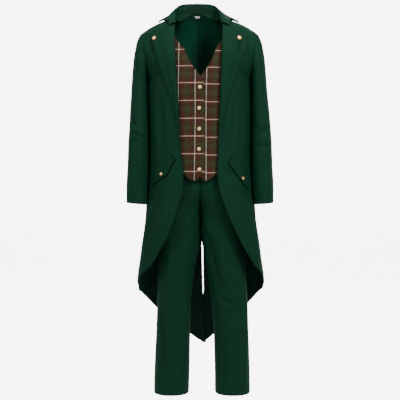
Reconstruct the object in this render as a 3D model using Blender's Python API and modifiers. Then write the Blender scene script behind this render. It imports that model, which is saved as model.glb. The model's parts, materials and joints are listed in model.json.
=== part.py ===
"""A historic tailcoat, waistcoat and trousers: hollow cloth walls in the pose of a standing wearer.

Every height is measured up from a level 18 mm below the trouser hem, and an empty moves the whole
set down so that the world's origin is at the base of the neck, where the wearer's shoulders hold
it. The front faces -Y and the wearer's left is +X. A panel is a sheet of points worked out from
section tables, with its wall made by Solidify.
"""

import math
from collections import namedtuple

import bpy
import numpy as np
from mathutils import Vector

NECK_HEIGHT = 1.430
LEFT, RIGHT = 1, -1
SIDE_NAMES = {LEFT: "left", RIGHT: "right"}

# Walls and the gap that two sewn pieces keep
COAT_WALL = 0.0020
WAISTCOAT_WALL = 0.0016
TROUSER_WALL = 0.0014
SEAM = 0.0003
DRAWN_IN = 0.0005
ROUNDNESS = 2.4

# The neck leans a little to the wearer's right above this height
LEAN_FROM = 1.400
LEAN_TO = 1.470
NECK_LEAN = 0.009
CHEST_LEAN_FROM = 1.000
CHEST_LEAN_TO = 1.200
CHEST_LEAN = 0.003

GREEN = (0.0060, 0.045, 0.024)
GREEN_SHADE = (0.0045, 0.032, 0.018)
PLAID_BROWN = (0.060, 0.028, 0.018)
GOLD = (0.62, 0.36, 0.10)
LABEL_WHITE = (0.80, 0.80, 0.78)

# One ring of the coat at each level: half its width, and how far its front and back stand from
# the side line. Above the armpit the ring is the one that the armhole cuts.
Ring = namedtuple("Ring", "level half_width front back")
COAT_RINGS = (
    Ring(0.17, 0.2180, 0.135, 0.150),
    Ring(0.30, 0.2330, 0.135, 0.148),
    Ring(0.44, 0.2378, 0.135, 0.143),
    Ring(0.55, 0.2240, 0.135, 0.138),
    Ring(0.67, 0.2070, 0.132, 0.134),
    Ring(0.80, 0.1920, 0.128, 0.128),
    Ring(0.90, 0.1888, 0.127, 0.122),
    Ring(1.00, 0.1880, 0.128, 0.119),
    Ring(1.10, 0.1885, 0.132, 0.122),
    Ring(1.20, 0.1890, 0.135, 0.125),
    Ring(1.2238, 0.1947, 0.135, 0.126),
    Ring(1.2476, 0.2038, 0.135, 0.127),
    Ring(1.2952, 0.2250, 0.135, 0.128),
    Ring(1.3666, 0.2446, 0.134, 0.128),
    Ring(1.4142, 0.2487, 0.134, 0.127),
    Ring(1.4380, 0.2500, 0.134, 0.127),
)

# How a garment closes over the shoulders: the armpit's level, the shoulder line's height at the
# neck, its fall to the shoulder's end, the half width of the neck and its rise at the back, and
# the armhole's place at its foot and at the shoulder.
Shoulders = namedtuple(
    "Shoulders", "pit crown fall reach neck rise arm_foot arm_tip arm_power front_round back_round inset"
)
COAT = Shoulders(1.200, 1.438, 0.076, 0.2356, 0.085, 0.044, 0.1890, 0.2265, 1.2, 2.4, 3.0, (0, 0, 0))
WAISTCOAT = Shoulders(
    1.200, 1.4315, 0.0735, 0.2356, 0.083, 0.048, 0.1805, 0.1650, 1.0, 2.4, 3.0, (0.0085, 0.0110, 0.0100)
)
SHOULDER_CURVE = 2.7
BACK_NECK_SHARE = 0.93

# Half the distance between the coat's front edges, from the cut-away corner to the neck
Edge = namedtuple("Edge", "height right left")
COAT_EDGE = (
    Edge(0.443, 0.2335, 0.2345),
    Edge(0.464, 0.2241, 0.2290),
    Edge(0.508, 0.1814, 0.2006),
    Edge(0.592, 0.1309, 0.1510),
    Edge(0.6457, 0.1036, 0.1251),
    Edge(0.704, 0.0841, 0.0983),
    Edge(0.755, 0.0681, 0.0794),
    Edge(0.790, 0.0597, 0.0692),
    Edge(0.853, 0.0597, 0.0619),
    Edge(0.952, 0.0710, 0.0662),
    Edge(1.079, 0.0754, 0.0710),
    Edge(1.188, 0.0808, 0.0775),
    Edge(1.300, 0.0873, 0.0807),
    Edge(1.405, 0.0905, 0.0850),
    Edge(1.440, 0.0860, 0.0840),
)
# The waistcoat's front edges: below zero a front laps over the middle
WAISTCOAT_EDGE = (
    Edge(0.800, -0.0175, -0.0175),
    Edge(1.165, -0.0175, -0.0175),
    Edge(1.188, -0.0160, -0.0110),
    Edge(1.202, -0.0062, 0.0030),
    Edge(1.2533, 0.0310, 0.0401),
    Edge(1.3055, 0.0562, 0.0613),
    Edge(1.359, 0.0880, 0.0850),
    Edge(1.440, 0.0830, 0.0830),
)

# Hem of the tails by distance from the middle, and the vent between them
TAIL_TIP = 0.183
TAIL_SWEEP = 1.87
TAIL_CURVE = 1.5
TIP_DROP = 0.016
TIP_WIDTH = 0.050
FRONT_CORNER = 0.438
SIDE_CORNER = 0.413
SIDE_TURN = 90.0
SKIRT_SIDE_TURN = 97.0
Vent = namedtuple("Vent", "height middle gap")
VENT = (
    Vent(0.170, 0.0155, -0.0180),
    Vent(0.330, 0.0120, -0.0100),
    Vent(0.400, 0.0120, 0.0050),
    Vent(0.600, 0.0080, 0.0062),
    Vent(0.730, 0.0030, 0.0040),
    Vent(0.800, 0.0000, SEAM),
    Vent(1.500, 0.0000, SEAM),
)
LAP_FROM = 0.450
LAP_TO = 0.360
LAP_WIDTH = 0.070
LAP_RISE = 0.0065

# Large soft folds: the side they are on (0 for both), the turn from the centre front where they
# run at their foot and at their head, their heights, half width in degrees and rise
Fold = namedtuple("Fold", "side foot_turn head_turn foot head width rise")
COAT_FOLDS = (
    Fold(RIGHT, 52, 56, 0.72, 1.30, 6, 0.0030),
    Fold(LEFT, 38, 46, 0.86, 1.24, 6, 0.0030),
    Fold(0, 70, 74, 0.44, 0.84, 9, 0.0045),
    Fold(0, 112, 106, 0.34, 0.96, 9, 0.0050),
    Fold(RIGHT, 136, 132, 0.22, 0.92, 9, -0.0045),
    Fold(LEFT, 140, 134, 0.22, 0.88, 9, -0.0045),
    Fold(0, 158, 160, 0.18, 0.86, 9, 0.0060),
)

# One ring of the sleeve for each row, between its inner point (towards the body) and its outer
# point, seen from the front, with half its depth and how far it hangs forward
Cuff = namedtuple("Cuff", "inner inner_height outer outer_height half_depth forward")
Station = namedtuple("Station", "number cuff")
ARMHOLE_GAP = 0.0013
SLEEVE = (
    Cuff(0.1925, 1.182, 0.2415, 1.322, 0.0730, 0.000),
    Cuff(0.1940, 1.160, 0.2485, 1.284, 0.0700, 0.001),
    Cuff(0.1945, 1.128, 0.2530, 1.226, 0.0660, 0.003),
    Cuff(0.1945, 1.084, 0.2590, 1.150, 0.0630, 0.007),
    Cuff(0.1940, 1.025, 0.2640, 1.065, 0.0610, 0.013),
    Cuff(0.1940, 0.945, 0.2700, 0.965, 0.0590, 0.020),
    Cuff(0.1965, 0.855, 0.2740, 0.865, 0.0550, 0.027),
    Cuff(0.2000, 0.785, 0.2762, 0.790, 0.0510, 0.033),
    Cuff(0.2028, 0.731, 0.2762, 0.737, 0.0480, 0.037),
)

# The collar from the middle of the back to its front end: fold, middle of the fall, outer edge
Collar = namedtuple("Collar", "along fold middle edge")
COLLAR = (
    Collar(0.00, (0.0000, 0.064, 1.5035), (0.000, 0.087, 1.470), (0.000, 0.101, 1.428)),
    Collar(0.22, (0.0375, 0.060, 1.5020), (0.046, 0.083, 1.469), (0.058, 0.096, 1.427)),
    Collar(0.42, (0.0625, 0.045, 1.4945), (0.080, 0.065, 1.465), (0.104, 0.080, 1.4400)),
    Collar(0.52, (0.0735, 0.032, 1.4865), (0.096, 0.049, 1.463), (0.133, 0.060, 1.4420)),
    Collar(0.60, (0.0800, 0.018, 1.4760), (0.107, 0.030, 1.456), (0.153, 0.038, 1.4290)),
    Collar(0.75, (0.0875, -0.012, 1.4540), (0.110, -0.004, 1.447), (0.150, 0.004, 1.4230)),
    Collar(0.88, (0.0890, -0.042, 1.4300), (0.108, -0.036, 1.432), (0.134, -0.018, 1.4275)),
    Collar(1.00, (0.0885, -0.0735, 1.4070), (0.112, -0.0820, 1.3965), (0.119, -0.037, 1.4265)),
)
COLLAR_FOOT_CORNER = 0.62
COLLAR_FRONT_LEVEL = 1.413
COLLAR_INSIDE = 0.0034
COLLAR_WALL = 0.0016
# The collar's own curve over its fold: how far along each step lies, and how far it stands up
BELOW_FOLD = 0.88
AFTER_FOLD, AFTER_RISE = 0.22, 0.0015
FALL_ROUND, FALL_RISE = 0.60, 0.0020

# The lapel's outer edge for each height of its roll line
Lapel = namedtuple("Lapel", "roll outer outer_height")
LAPEL = (
    Lapel(0.952, 0.0750, 0.952),
    Lapel(1.006, 0.0800, 1.005),
    Lapel(1.079, 0.0936, 1.078),
    Lapel(1.134, 0.1066, 1.133),
    Lapel(1.188, 0.1267, 1.187),
    Lapel(1.250, 0.1480, 1.247),
    Lapel(1.310, 0.1680, 1.305),
    Lapel(1.355, 0.1790, 1.343),
    Lapel(1.398, 0.1770, 1.362),
)
LAPEL_OUT = 0.0034
LAPEL_ROLL = 0.0040
LAPEL_ROLL_WIDTH = 0.625
LAPEL_WALL = 0.0018
LAPEL_INSET = 0.0006

# Pocket flaps: where the seam starts near the front edge, its slope down from level, its length,
# how far the front end slants, how far the flap hangs at its two ends and at its point, where
# along it the point is, and where the button is along the seam and down from it
Flap = namedtuple(
    "Flap",
    "side start height slope length slant front_drop point point_drop back_drop "
    "button_along button_down",
)
FLAPS = (
    Flap(RIGHT, 0.1150, 0.9260, 48, 0.143, 0.009, 0.0375, 0.455, 0.0515, 0.0255, 0.080, 0.0315),
    Flap(LEFT, 0.1240, 0.9140, 48, 0.150, 0.008, 0.0360, 0.430, 0.0395, 0.0300, 0.090, 0.0260),
)
FLAP_OUT = 0.0024
FLAP_HANG = 0.0008
FLAP_WALL = 0.0016

# Waistcoat hem by distance from the middle, and the columns that its front is cut into
Hem = namedtuple("Hem", "across height")
WAISTCOAT_HEM = (
    Hem(-0.0175, 0.8480),
    Hem(0.0000, 0.8340),
    Hem(0.0190, 0.8200),
    Hem(0.0430, 0.8290),
    Hem(0.0575, 0.8430),
    Hem(0.1000, 0.8600),
    Hem(0.2000, 0.8730),
)
WAISTCOAT_COLUMNS = (0.0, 0.036, 0.077, 0.13, 0.19, 0.29, 0.42, 0.58, 0.76, 1.0)
WAISTCOAT_BACK_HEM = 0.873
WAISTCOAT_LAP = 0.0032

# Buttons: across, height, radius
WAISTCOAT_BUTTONS = (
    (0.0022, 1.1629),
    (-0.0018, 1.0870),
    (-0.0029, 1.0108),
    (-0.0036, 0.9370),
    (-0.0025, 0.8627),
)
WAISTCOAT_BUTTON_RADIUS = 0.0088
LAPEL_BUTTONS = {RIGHT: (0.1640, 1.3450), LEFT: (0.1460, 1.3455)}
LAPEL_BUTTON_RADIUS = 0.0095
FLAP_BUTTON_RADIUS = 0.0072
BUTTON_STANDS_OFF = 0.0006
# A button's outline in shares of its radius, from the middle of its dome over the rim to its back
Step = namedtuple("Step", "across height")
BUTTON_PROFILE = (
    Step(0.00, 0.46),
    Step(0.62, 0.42),
    Step(0.72, 0.30),
    Step(0.86, 0.40),
    Step(0.98, 0.28),
    Step(1.00, 0.12),
    Step(0.90, 0.00),
    Step(0.00, 0.00),
)

LABEL_WIDTH = 0.019
LABEL_HEIGHT = 0.0075
LABEL_TOP = 1.4560
LABEL_WALL = 0.0010

# One leg at each height: its inner and outer lines on each side, how far front and back stand
# from the side line, and where the inner edges of the front and back panels lie
Leg = namedtuple(
    "Leg", "height right_inner right_outer left_inner left_outer front back crest inner_front inner_back"
)
TROUSERS = (
    Leg(0.000, 0.0420, 0.1750, 0.0565, 0.1900, 0.063, 0.070, 0.0650, 0.000, 0.000),
    Leg(0.080, 0.0400, 0.1735, 0.0560, 0.1890, 0.064, 0.070, 0.0650, 0.000, 0.000),
    Leg(0.270, 0.0365, 0.1655, 0.0510, 0.1835, 0.067, 0.072, 0.0640, 0.000, 0.000),
    Leg(0.376, 0.0325, 0.1620, 0.0405, 0.1800, 0.069, 0.074, 0.0650, 0.000, 0.000),
    Leg(0.479, 0.0215, 0.1590, 0.0266, 0.1745, 0.073, 0.078, 0.0710, 0.000, 0.000),
    Leg(0.550, 0.0075, 0.1580, 0.0150, 0.1710, 0.077, 0.083, 0.0760, 0.000, 0.000),
    Leg(0.600, -0.0010, 0.1580, 0.0045, 0.1690, 0.080, 0.087, 0.0790, 0.000, 0.000),
    Leg(0.660, -0.0008, 0.1600, 0.0014, 0.1700, 0.085, 0.093, 0.0800, 0.000, 0.000),
    Leg(0.720, 0.0004, 0.1640, 0.0014, 0.1715, 0.091, 0.100, 0.0790, 0.000, 0.000),
    Leg(0.745, 0.0004, 0.1660, 0.0008, 0.1720, 0.094, 0.105, 0.0770, 0.000, 0.000),
    Leg(0.758, -0.0002, 0.1675, 0.0000, 0.1722, 0.096, 0.109, 0.0740, -0.046, 0.054),
    Leg(0.775, -0.0002, 0.1690, -0.0002, 0.1725, 0.098, 0.108, 0.0680, -0.078, 0.088),
    Leg(0.805, -0.0002, 0.1710, -0.0002, 0.1725, 0.100, 0.110, 0.0560, -0.096, 0.106),
    Leg(0.860, -0.0002, 0.1700, -0.0002, 0.1700, 0.100, 0.104, 0.0450, -0.099, 0.1025),
    Leg(0.920, -0.0002, 0.1640, -0.0002, 0.1640, 0.098, 0.0985, 0.0400, -0.0972, 0.0975),
    Leg(0.955, -0.0002, 0.1600, -0.0002, 0.1600, 0.097, 0.0955, 0.0400, -0.0962, 0.0948),
)
TROUSER_ROUNDNESS = 2.2
LEG_HEIGHTS = (0.018, 0.11, 0.20, 0.29, 0.37, 0.45, 0.52, 0.58, 0.63, 0.68, 0.72)
SEAT_HEIGHTS = (0.745, 0.758, 0.775, 0.805, 0.86, 0.91, 0.9552)
INSIDE_COLUMNS = 3
OUTSIDE_COLUMNS = 5
# Soft folds down the legs: side, across at the foot and at the head, heights, half width, rise
LegFold = namedtuple("LegFold", "side foot_across head_across foot head width rise")
LEG_FOLDS = (
    LegFold(RIGHT, 0.118, 0.118, 0.12, 0.62, 0.016, 0.0040),
    LegFold(RIGHT, 0.140, 0.140, 0.20, 0.60, 0.014, -0.0035),
    LegFold(LEFT, 0.075, 0.028, 0.41, 0.64, 0.014, -0.0050),
    LegFold(LEFT, 0.100, 0.062, 0.36, 0.64, 0.015, 0.0040),
    LegFold(LEFT, 0.088, 0.100, 0.04, 0.26, 0.014, -0.0035),
)

WAISTBAND_TOP = 0.992
WAISTBAND = Ring(0.955, 0.1600, 0.0970, 0.0955)
WAISTBAND_COLUMNS = 28


def smooth(low, high, at):
    """0 below LOW, 1 above HIGH, and an easy curve between them."""
    share = min(1.0, max(0.0, (at - low) / (high - low)))
    return share * share * (3 - 2 * share)


def flat_row(row):
    """A table's row as one list of numbers, its points included."""
    return [number for entry in row for number in (entry if isinstance(entry, tuple) else (entry,))]


def read(rows, at):
    """The table's row at a height between its rows, on a smooth curve that never overshoots them."""
    table = np.array([flat_row(row) for row in rows])
    keys = table[:, 0]
    at = min(max(at, keys[0]), keys[-1])
    i = min(int(np.searchsorted(keys, at, side="right")) - 1, len(keys) - 2)
    gaps = np.diff(keys)[:, None]
    slopes = np.diff(table, axis=0) / gaps
    inner = slopes[:-1] * slopes[1:]
    safe = np.where(inner > 0, slopes[:-1] + slopes[1:], 1.0)
    tangents = np.vstack([slopes[:1], np.where(inner > 0, 2 * inner / safe, 0.0), slopes[-1:]])
    gap = gaps[i]
    t = (at - keys[i]) / gap
    values = (
        (1 + 2 * t) * (1 - t) ** 2 * table[i]
        + t * (1 - t) ** 2 * gap * tangents[i]
        + t * t * (3 - 2 * t) * table[i + 1]
        + t * t * (t - 1) * gap * tangents[i + 1]
    )
    numbers = iter(values.tolist())
    filled = [
        tuple(next(numbers) for _ in entry) if isinstance(entry, tuple) else next(numbers)
        for entry in rows[0]
    ]
    return type(rows[0])(*filled)


def signed_power(value, power):
    return math.copysign(abs(value) ** power, value)


def turn_to(across, half_width):
    """The turn in degrees from the centre front at which a ring is ACROSS from the middle."""
    share = max(-1.0, min(1.0, across / half_width))
    return math.degrees(math.asin(signed_power(share, ROUNDNESS / 2)))


def on_side(edge, side):
    return edge.left if side == LEFT else edge.right


def shoulder_height(shape, across):
    """Height of the shoulder line, with the rise behind the neck."""
    outward = min(abs(across) / shape.neck, 1.0)
    behind_neck = shape.rise * (1 - outward**2) ** 2
    return shape.crown + behind_neck - shape.fall * (abs(across) / shape.reach) ** SHOULDER_CURVE


def fold_rise(side, turn, level):
    """How far the coat's cloth stands out of its plain form where folds pass."""
    total = 0.0
    for fold in COAT_FOLDS:
        along = (level - fold.foot) / (fold.head - fold.foot)
        if fold.side in (0, side) and 0 < along < 1:
            centre = fold.foot_turn + (fold.head_turn - fold.foot_turn) * along
            total += fold.rise * math.sin(math.pi * along) * math.exp(-(((turn - centre) / fold.width) ** 2))
    return total


def body_point(shape, side, turn, level):
    """A point of a garment's outer face, mirrored so that across is always towards this side."""
    ring = read(COAT_RINGS, level)
    share = max(0.0, (level - shape.pit) / (shape.crown - shape.pit))
    power = 2 / ROUNDNESS
    radians = math.radians(turn)
    half_width = ring.half_width - shape.inset[0]
    across = half_width * signed_power(math.sin(radians), power)
    if math.cos(radians) > 0:
        depth = -(ring.front - shape.inset[1]) * math.sqrt(max(0.0, 1 - min(share, 1.0) ** shape.front_round))
    else:
        depth = (ring.back - shape.inset[2]) * math.sqrt(max(0.0, 1 - min(share, 1.0) ** shape.back_round))
    forward = depth * abs(math.cos(radians)) ** power
    height = level
    if share > 0:
        height = shape.pit + share * (shoulder_height(shape, across) - shape.pit)
    if shape is COAT:
        stand = fold_rise(side, turn, level) / math.hypot(across, forward)
        across, forward = across * (1 + stand), forward * (1 + stand)
    return Vector((across, forward, height))


def level_of(shape, across, height):
    """The level whose ring passes this place on the front or back."""
    if height <= shape.pit:
        return height
    share = (height - shape.pit) / (shoulder_height(shape, across) - shape.pit)
    return shape.pit + share * (shape.crown - shape.pit)


def turn_at(shape, across, level):
    return turn_to(across, read(COAT_RINGS, level).half_width - shape.inset[0])


def edge_turn(shape, edges, side, level):
    """Where a front's edge lies on this level's ring."""
    height = level
    for _ in range(4):
        across = on_side(read(edges, height), side)
        if level > shape.pit:
            share = (level - shape.pit) / (shape.crown - shape.pit)
            height = shape.pit + share * (shoulder_height(shape, across) - shape.pit)
    return turn_at(shape, across, level)


def side_turn(shape, level):
    """Where the side seam, and above it the front of the armhole, lies on this level's ring."""
    if level <= shape.pit:
        return SIDE_TURN + (SKIRT_SIDE_TURN - SIDE_TURN) * (1 - smooth(0.55, 1.0, level))
    share = (level - shape.pit) / (shape.crown - shape.pit)
    across = shape.arm_foot + (shape.arm_tip - shape.arm_foot) * share**shape.arm_power
    return turn_at(shape, across, level)


def moved_out(shape, side, turn, level, distance):
    """The point at this turn and level, moved outwards along the cloth's normal."""
    level = min(level, shape.crown - 0.002)
    here = body_point(shape, side, turn, level)
    aside = body_point(shape, side, turn + 0.5, level) - body_point(shape, side, turn - 0.5, level)
    up = body_point(shape, side, turn, level + 0.001) - body_point(shape, side, turn, level - 0.001)
    return here + aside.cross(up).normalized() * distance


def at_place(shape, side, across, height, distance):
    """A point on the front of a garment, found from where it is seen from the front."""
    level = level_of(shape, across, height)
    return moved_out(shape, side, turn_at(shape, across, level), level, distance)


def placed(side, point):
    """A mirrored point at its real place: on its side, and leaning with the neck."""
    across, forward, height = point
    lean = NECK_LEAN * smooth(LEAN_FROM, LEAN_TO, height)
    lean += CHEST_LEAN * smooth(CHEST_LEAN_FROM, CHEST_LEAN_TO, height)
    return Vector((side * across - lean, forward, height))


def drawn_in(grid, distance):
    """The grid with its outer points drawn in from its edges, so that sewn pieces keep a gap."""
    rows = [list(row) for row in grid]
    for row in rows:
        row[0] = row[0] + (row[1] - row[0]).normalized() * distance
        row[-1] = row[-1] + (row[-2] - row[-1]).normalized() * distance
    for column in range(len(rows[0])):
        for end, inner in ((0, 1), (-1, -2)):
            step = rows[inner][column] - rows[end][column]
            rows[end][column] = rows[end][column] + step.normalized() * distance
    return rows


def material(name, colour, roughness, metallic=0.0):
    """One Principled material for a piece."""
    made = bpy.data.materials.new(name)
    made.use_nodes = True
    shader = made.node_tree.nodes["Principled BSDF"]
    shader.inputs["Base Color"].default_value = (*colour, 1.0)
    shader.inputs["Roughness"].default_value = roughness
    shader.inputs["Metallic"].default_value = metallic
    made.diffuse_color = (*colour, 1.0)
    return made


def finished(name, mesh, colour, roughness, metallic=0.0):
    """An object in the costume's collection, in the heights of the tables."""
    mesh.materials.append(material(name, colour, roughness, metallic))
    mesh.shade_smooth()
    made = bpy.data.objects.new(name, mesh)
    costume.objects.link(made)
    made.parent = ground
    return made


def sheet(name, grid, wall, colour, roughness=0.9, around=False, inwards=False):
    """Cloth through a grid of points, rows upwards and columns to the wearer's left, with its wall."""
    wide = len(grid[0])
    faces = []
    for row in range(len(grid) - 1):
        for column in range(wide if around else wide - 1):
            beside = (column + 1) % wide
            corners = [row * wide + column, row * wide + beside]
            corners += [(row + 1) * wide + beside, (row + 1) * wide + column]
            faces.append(corners[::-1] if inwards else corners)
    mesh = bpy.data.meshes.new(name)
    mesh.from_pydata([point for row in grid for point in row], [], faces)
    made = finished(name, mesh, colour, roughness)
    solid = made.modifiers.new("wall", "SOLIDIFY")
    solid.thickness = wall
    solid.offset = -1
    solid.use_even_offset = True
    return made


def side_sheet(name, side, grid, wall, colour):
    """A panel whose grid is written for the wearer's left, set on its own side."""
    real = [[placed(side, point) for point in row] for row in drawn_in(grid, DRAWN_IN)]
    return sheet(f"{name}_{SIDE_NAMES[side]}", real, wall, colour, inwards=side == RIGHT)


def rising(low, high, count):
    return [low + (high - low) * i / count for i in range(count + 1)]


def over_shoulder(shape, count, top=1.0):
    """Levels from the armpit to the shoulder line, closer together near the top."""
    rise = (shape.crown - shape.pit) * top
    return [shape.pit + rise * math.sin(math.pi / 2 * i / count) for i in range(1, count + 1)]


def coat_front(side, columns=9):
    """From the cut-away corner up the front edge and roll line to the shoulder seam."""
    grid = []
    for level in rising(FRONT_CORNER, COAT.pit, 15) + over_shoulder(COAT, 7):
        start = edge_turn(COAT, COAT_EDGE, side, level)
        drop = (FRONT_CORNER - SIDE_CORNER) * max(0.0, 1 - (level - FRONT_CORNER) / 0.3)
        row = []
        for column in range(columns + 1):
            share = column / columns
            low = level - drop * share**2
            row.append(body_point(COAT, side, start + (side_turn(COAT, level) - start) * share, low))
        grid.append(row)
    side_sheet("coat_front", side, grid, COAT_WALL, GREEN)


def tail_hem(across):
    tip = TIP_DROP * max(0.0, 1 - across / TIP_WIDTH)
    return TAIL_TIP + TAIL_SWEEP * max(0.0, across) ** TAIL_CURVE - tip


def back_turns(shape, level, side_columns=7, neck_columns=6):
    """Turns from the side to the middle of the back, one of them at the corner of the neck."""
    start = side_turn(shape, level) if level <= shape.pit else 180 - side_turn(shape, level)
    corner = 180 - turn_to(shape.neck, COAT_RINGS[-1].half_width - shape.inset[0])
    return [start + (corner - start) * i / side_columns for i in range(side_columns)] + [
        180 - (180 - corner) * math.cos(math.pi / 2 * i / neck_columns) for i in range(neck_columns + 1)
    ]


def neck_share(shape, turn):
    """How far up to the shoulder line a column of the back runs: less behind the neck."""
    corner = 180 - turn_to(shape.neck, COAT_RINGS[-1].half_width - shape.inset[0])
    if turn <= corner:
        return 1.0
    inward = (180 - turn) / (180 - corner)
    return 1 - (1 - BACK_NECK_SHARE) * math.sqrt(max(0.0, 1 - inward**2))


def back_panel(shape, side, hem, low_rows, high_rows):
    """Half of a back from its hem to the neck, as a grid."""
    grid = []
    for row in range(low_rows + 1):
        turns = back_turns(shape, shape.pit)
        line = []
        for column, _ in enumerate(turns):
            level = shape.pit
            for _ in range(4):
                turn = back_turns(shape, level)[column]
                bottom = hem(body_point(shape, side, turn, level).x)
                level = bottom + (shape.pit - bottom) * row / low_rows
            line.append(body_point(shape, side, turn, level))
        grid.append(line)
    for row in range(1, high_rows + 1):
        rise = math.sin(math.pi / 2 * row / high_rows)
        line = []
        for column, turn in enumerate(back_turns(shape, shape.crown)):
            level = shape.pit + (shape.crown - shape.pit) * rise * neck_share(shape, turn)
            line.append(body_point(shape, side, back_turns(shape, level)[column], level))
        grid.append(line)
    return grid


def opened_vent(side, grid):
    """The middle edge moved to the vent's edge, and the tail on top lifted clear of the other."""
    for line in grid:
        reach = line[0].x
        for point in line:
            vent = read(VENT, point.z)
            edge = side * vent.middle + vent.gap / 2
            nearness = max(0.0, 1 - point.x / reach) ** 2
            point.x += edge * nearness
            if side == LEFT:
                lap = 1 - smooth(LAP_TO, LAP_FROM, point.z)
                point.y += LAP_RISE * lap * (1 - smooth(0.0, LAP_WIDTH, point.x))
    return grid


def coat_back(side):
    grid = back_panel(COAT, side, tail_hem, 12, 7)
    side_sheet("coat_back", side, opened_vent(side, grid), COAT_WALL, GREEN)


def armhole(side, count):
    """The armhole from its foot up the front, over the shoulder's end and down the back."""
    ring = []
    for i in range(count):
        around = 2 * math.pi * i / count
        share = (1 - math.cos(around)) / 2
        level = COAT.pit + (COAT.crown - COAT.pit) * share
        turn = side_turn(COAT, level) if share > 0 else SIDE_TURN
        ring.append(body_point(COAT, side, turn if around < math.pi else 180 - turn, level))
    return ring


def coat_sleeve(side, count=16, rings=16):
    """A tube from the armhole to the open cuff."""
    grid = [[point + Vector((ARMHOLE_GAP, 0, 0)) for point in armhole(side, count)]]
    stations = [Station(number, tuple(cuff)) for number, cuff in enumerate(SLEEVE)]
    for step in range(rings):
        cuff = Cuff(*read(stations, step / (rings - 1) * (len(stations) - 1)).cuff)
        middle = (cuff.inner + cuff.outer) / 2
        middle_height = (cuff.inner_height + cuff.outer_height) / 2
        ring = []
        for i in range(count):
            around = 2 * math.pi * i / count
            reach = math.cos(around)
            across = middle + (cuff.inner - cuff.outer) / 2 * reach
            height = middle_height + (cuff.inner_height - cuff.outer_height) / 2 * reach
            ring.append(Vector((across, -cuff.forward - cuff.half_depth * math.sin(around), height)))
        grid.append(ring)
    real = [[placed(side, point) for point in row] for row in grid]
    sheet(
        f"coat_sleeve_{SIDE_NAMES[side]}", real, COAT_WALL, GREEN, around=True, inwards=side == LEFT
    )


def collar_foot(side, along):
    """The neck seam from the middle of the back round to the coat's front edge."""
    if along < COLLAR_FOOT_CORNER:
        corner = 180 - turn_to(COAT.neck, COAT_RINGS[-1].half_width)
        turn = 180 + (corner - 180) * along / COLLAR_FOOT_CORNER
        level = COAT.pit + (COAT.crown - COAT.pit) * neck_share(COAT, turn)
        foot = body_point(COAT, side, turn, level)
    else:
        share = (along - COLLAR_FOOT_CORNER) / (1 - COLLAR_FOOT_CORNER)
        level = COAT.crown + (COLLAR_FRONT_LEVEL - COAT.crown) * share
        foot = body_point(COAT, side, edge_turn(COAT, COAT_EDGE, side, level), level)
    inwards = Vector((-foot.x, -0.02 - foot.y, 0)).normalized()
    return foot + inwards * COLLAR_INSIDE


def collar_profile(side, along):
    """From the neck seam up the stand, over the fold and down the fall."""
    station = read(COLLAR, along)
    foot = collar_foot(side, along)
    fold, middle, edge = Vector(station.fold), Vector(station.middle), Vector(station.edge)
    inner = foot.lerp(fold, 0.5)
    before = foot.lerp(fold, BELOW_FOLD)
    after = fold.lerp(middle, AFTER_FOLD) + Vector((0, 0, AFTER_RISE))
    rounded = fold.lerp(middle, FALL_ROUND) + Vector((0, 0, FALL_RISE))
    return [foot, inner, before, fold, after, rounded, middle, middle.lerp(edge, 0.5), edge]


def coat_collar(stations=9):
    """Stand and fall in one wall that is folded along the top, round the back of the neck."""
    rows = []
    for step in range(-stations, stations + 1):
        side = LEFT if step >= 0 else RIGHT
        profile = collar_profile(side, abs(step) / stations)
        rows.append([placed(side, point) for point in profile])
    sheet("coat_collar", rows, COLLAR_WALL, GREEN, inwards=True)


def lapel_grid(side, rows=12, columns=5):
    """The lapel lies on the front's own points, moved out, and rolls at its inner edge."""
    grid = []
    for row in range(rows + 1):
        roll = LAPEL[0].roll + (LAPEL[-1].roll - LAPEL[0].roll) * row / rows
        lapel = read(LAPEL, roll)
        inner = on_side(read(COAT_EDGE, roll), side) + LAPEL_INSET
        line = []
        for column in range(columns + 1):
            share = column / columns
            across = inner + (lapel.outer - inner) * share
            height = roll + (lapel.outer_height - roll) * share
            rolled = math.sin(math.pi * min(1.0, share / LAPEL_ROLL_WIDTH)) * smooth(0.95, 1.1, roll)
            out = LAPEL_OUT + LAPEL_ROLL * rolled
            line.append(at_place(COAT, side, across, height, out))
        grid.append(line)
    return grid


def coat_lapel(side):
    side_sheet("coat_lapel", side, lapel_grid(side), LAPEL_WALL, GREEN)


def flap_place(flap, along, down, out):
    """A point of a flap: ALONG its seam and DOWN from it, wrapped on the coat's front."""
    slope = math.radians(flap.slope)
    level = flap.height - along * math.sin(slope) - down * math.cos(slope)
    ring = read(COAT_RINGS, level)
    start = turn_to(flap.start, ring.half_width)
    around = along * math.cos(slope) - down * math.sin(slope)
    girth = (ring.half_width + ring.front) / 2
    return moved_out(COAT, flap.side, start + math.degrees(around / girth), level, out)


def coat_flap(flap, columns=4, rows=2):
    """A pointed flap that hangs from its slanted seam, with a column of points at its point."""
    shares = rising(0.0, flap.point, columns) + rising(flap.point, 1.0, columns)[1:]
    grid = []
    for row in range(rows, -1, -1):
        line = []
        for share in shares:
            drop = np.interp(share, (0, flap.point, 1), (flap.front_drop, flap.point_drop, flap.back_drop))
            along = flap.length * share + flap.slant * (1 - share) * row / rows
            out = FLAP_OUT + FLAP_HANG * row / rows
            line.append(flap_place(flap, along, float(drop) * row / rows, out))
        grid.append(line)
    side_sheet("coat_flap", flap.side, grid, FLAP_WALL, GREEN)


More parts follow.
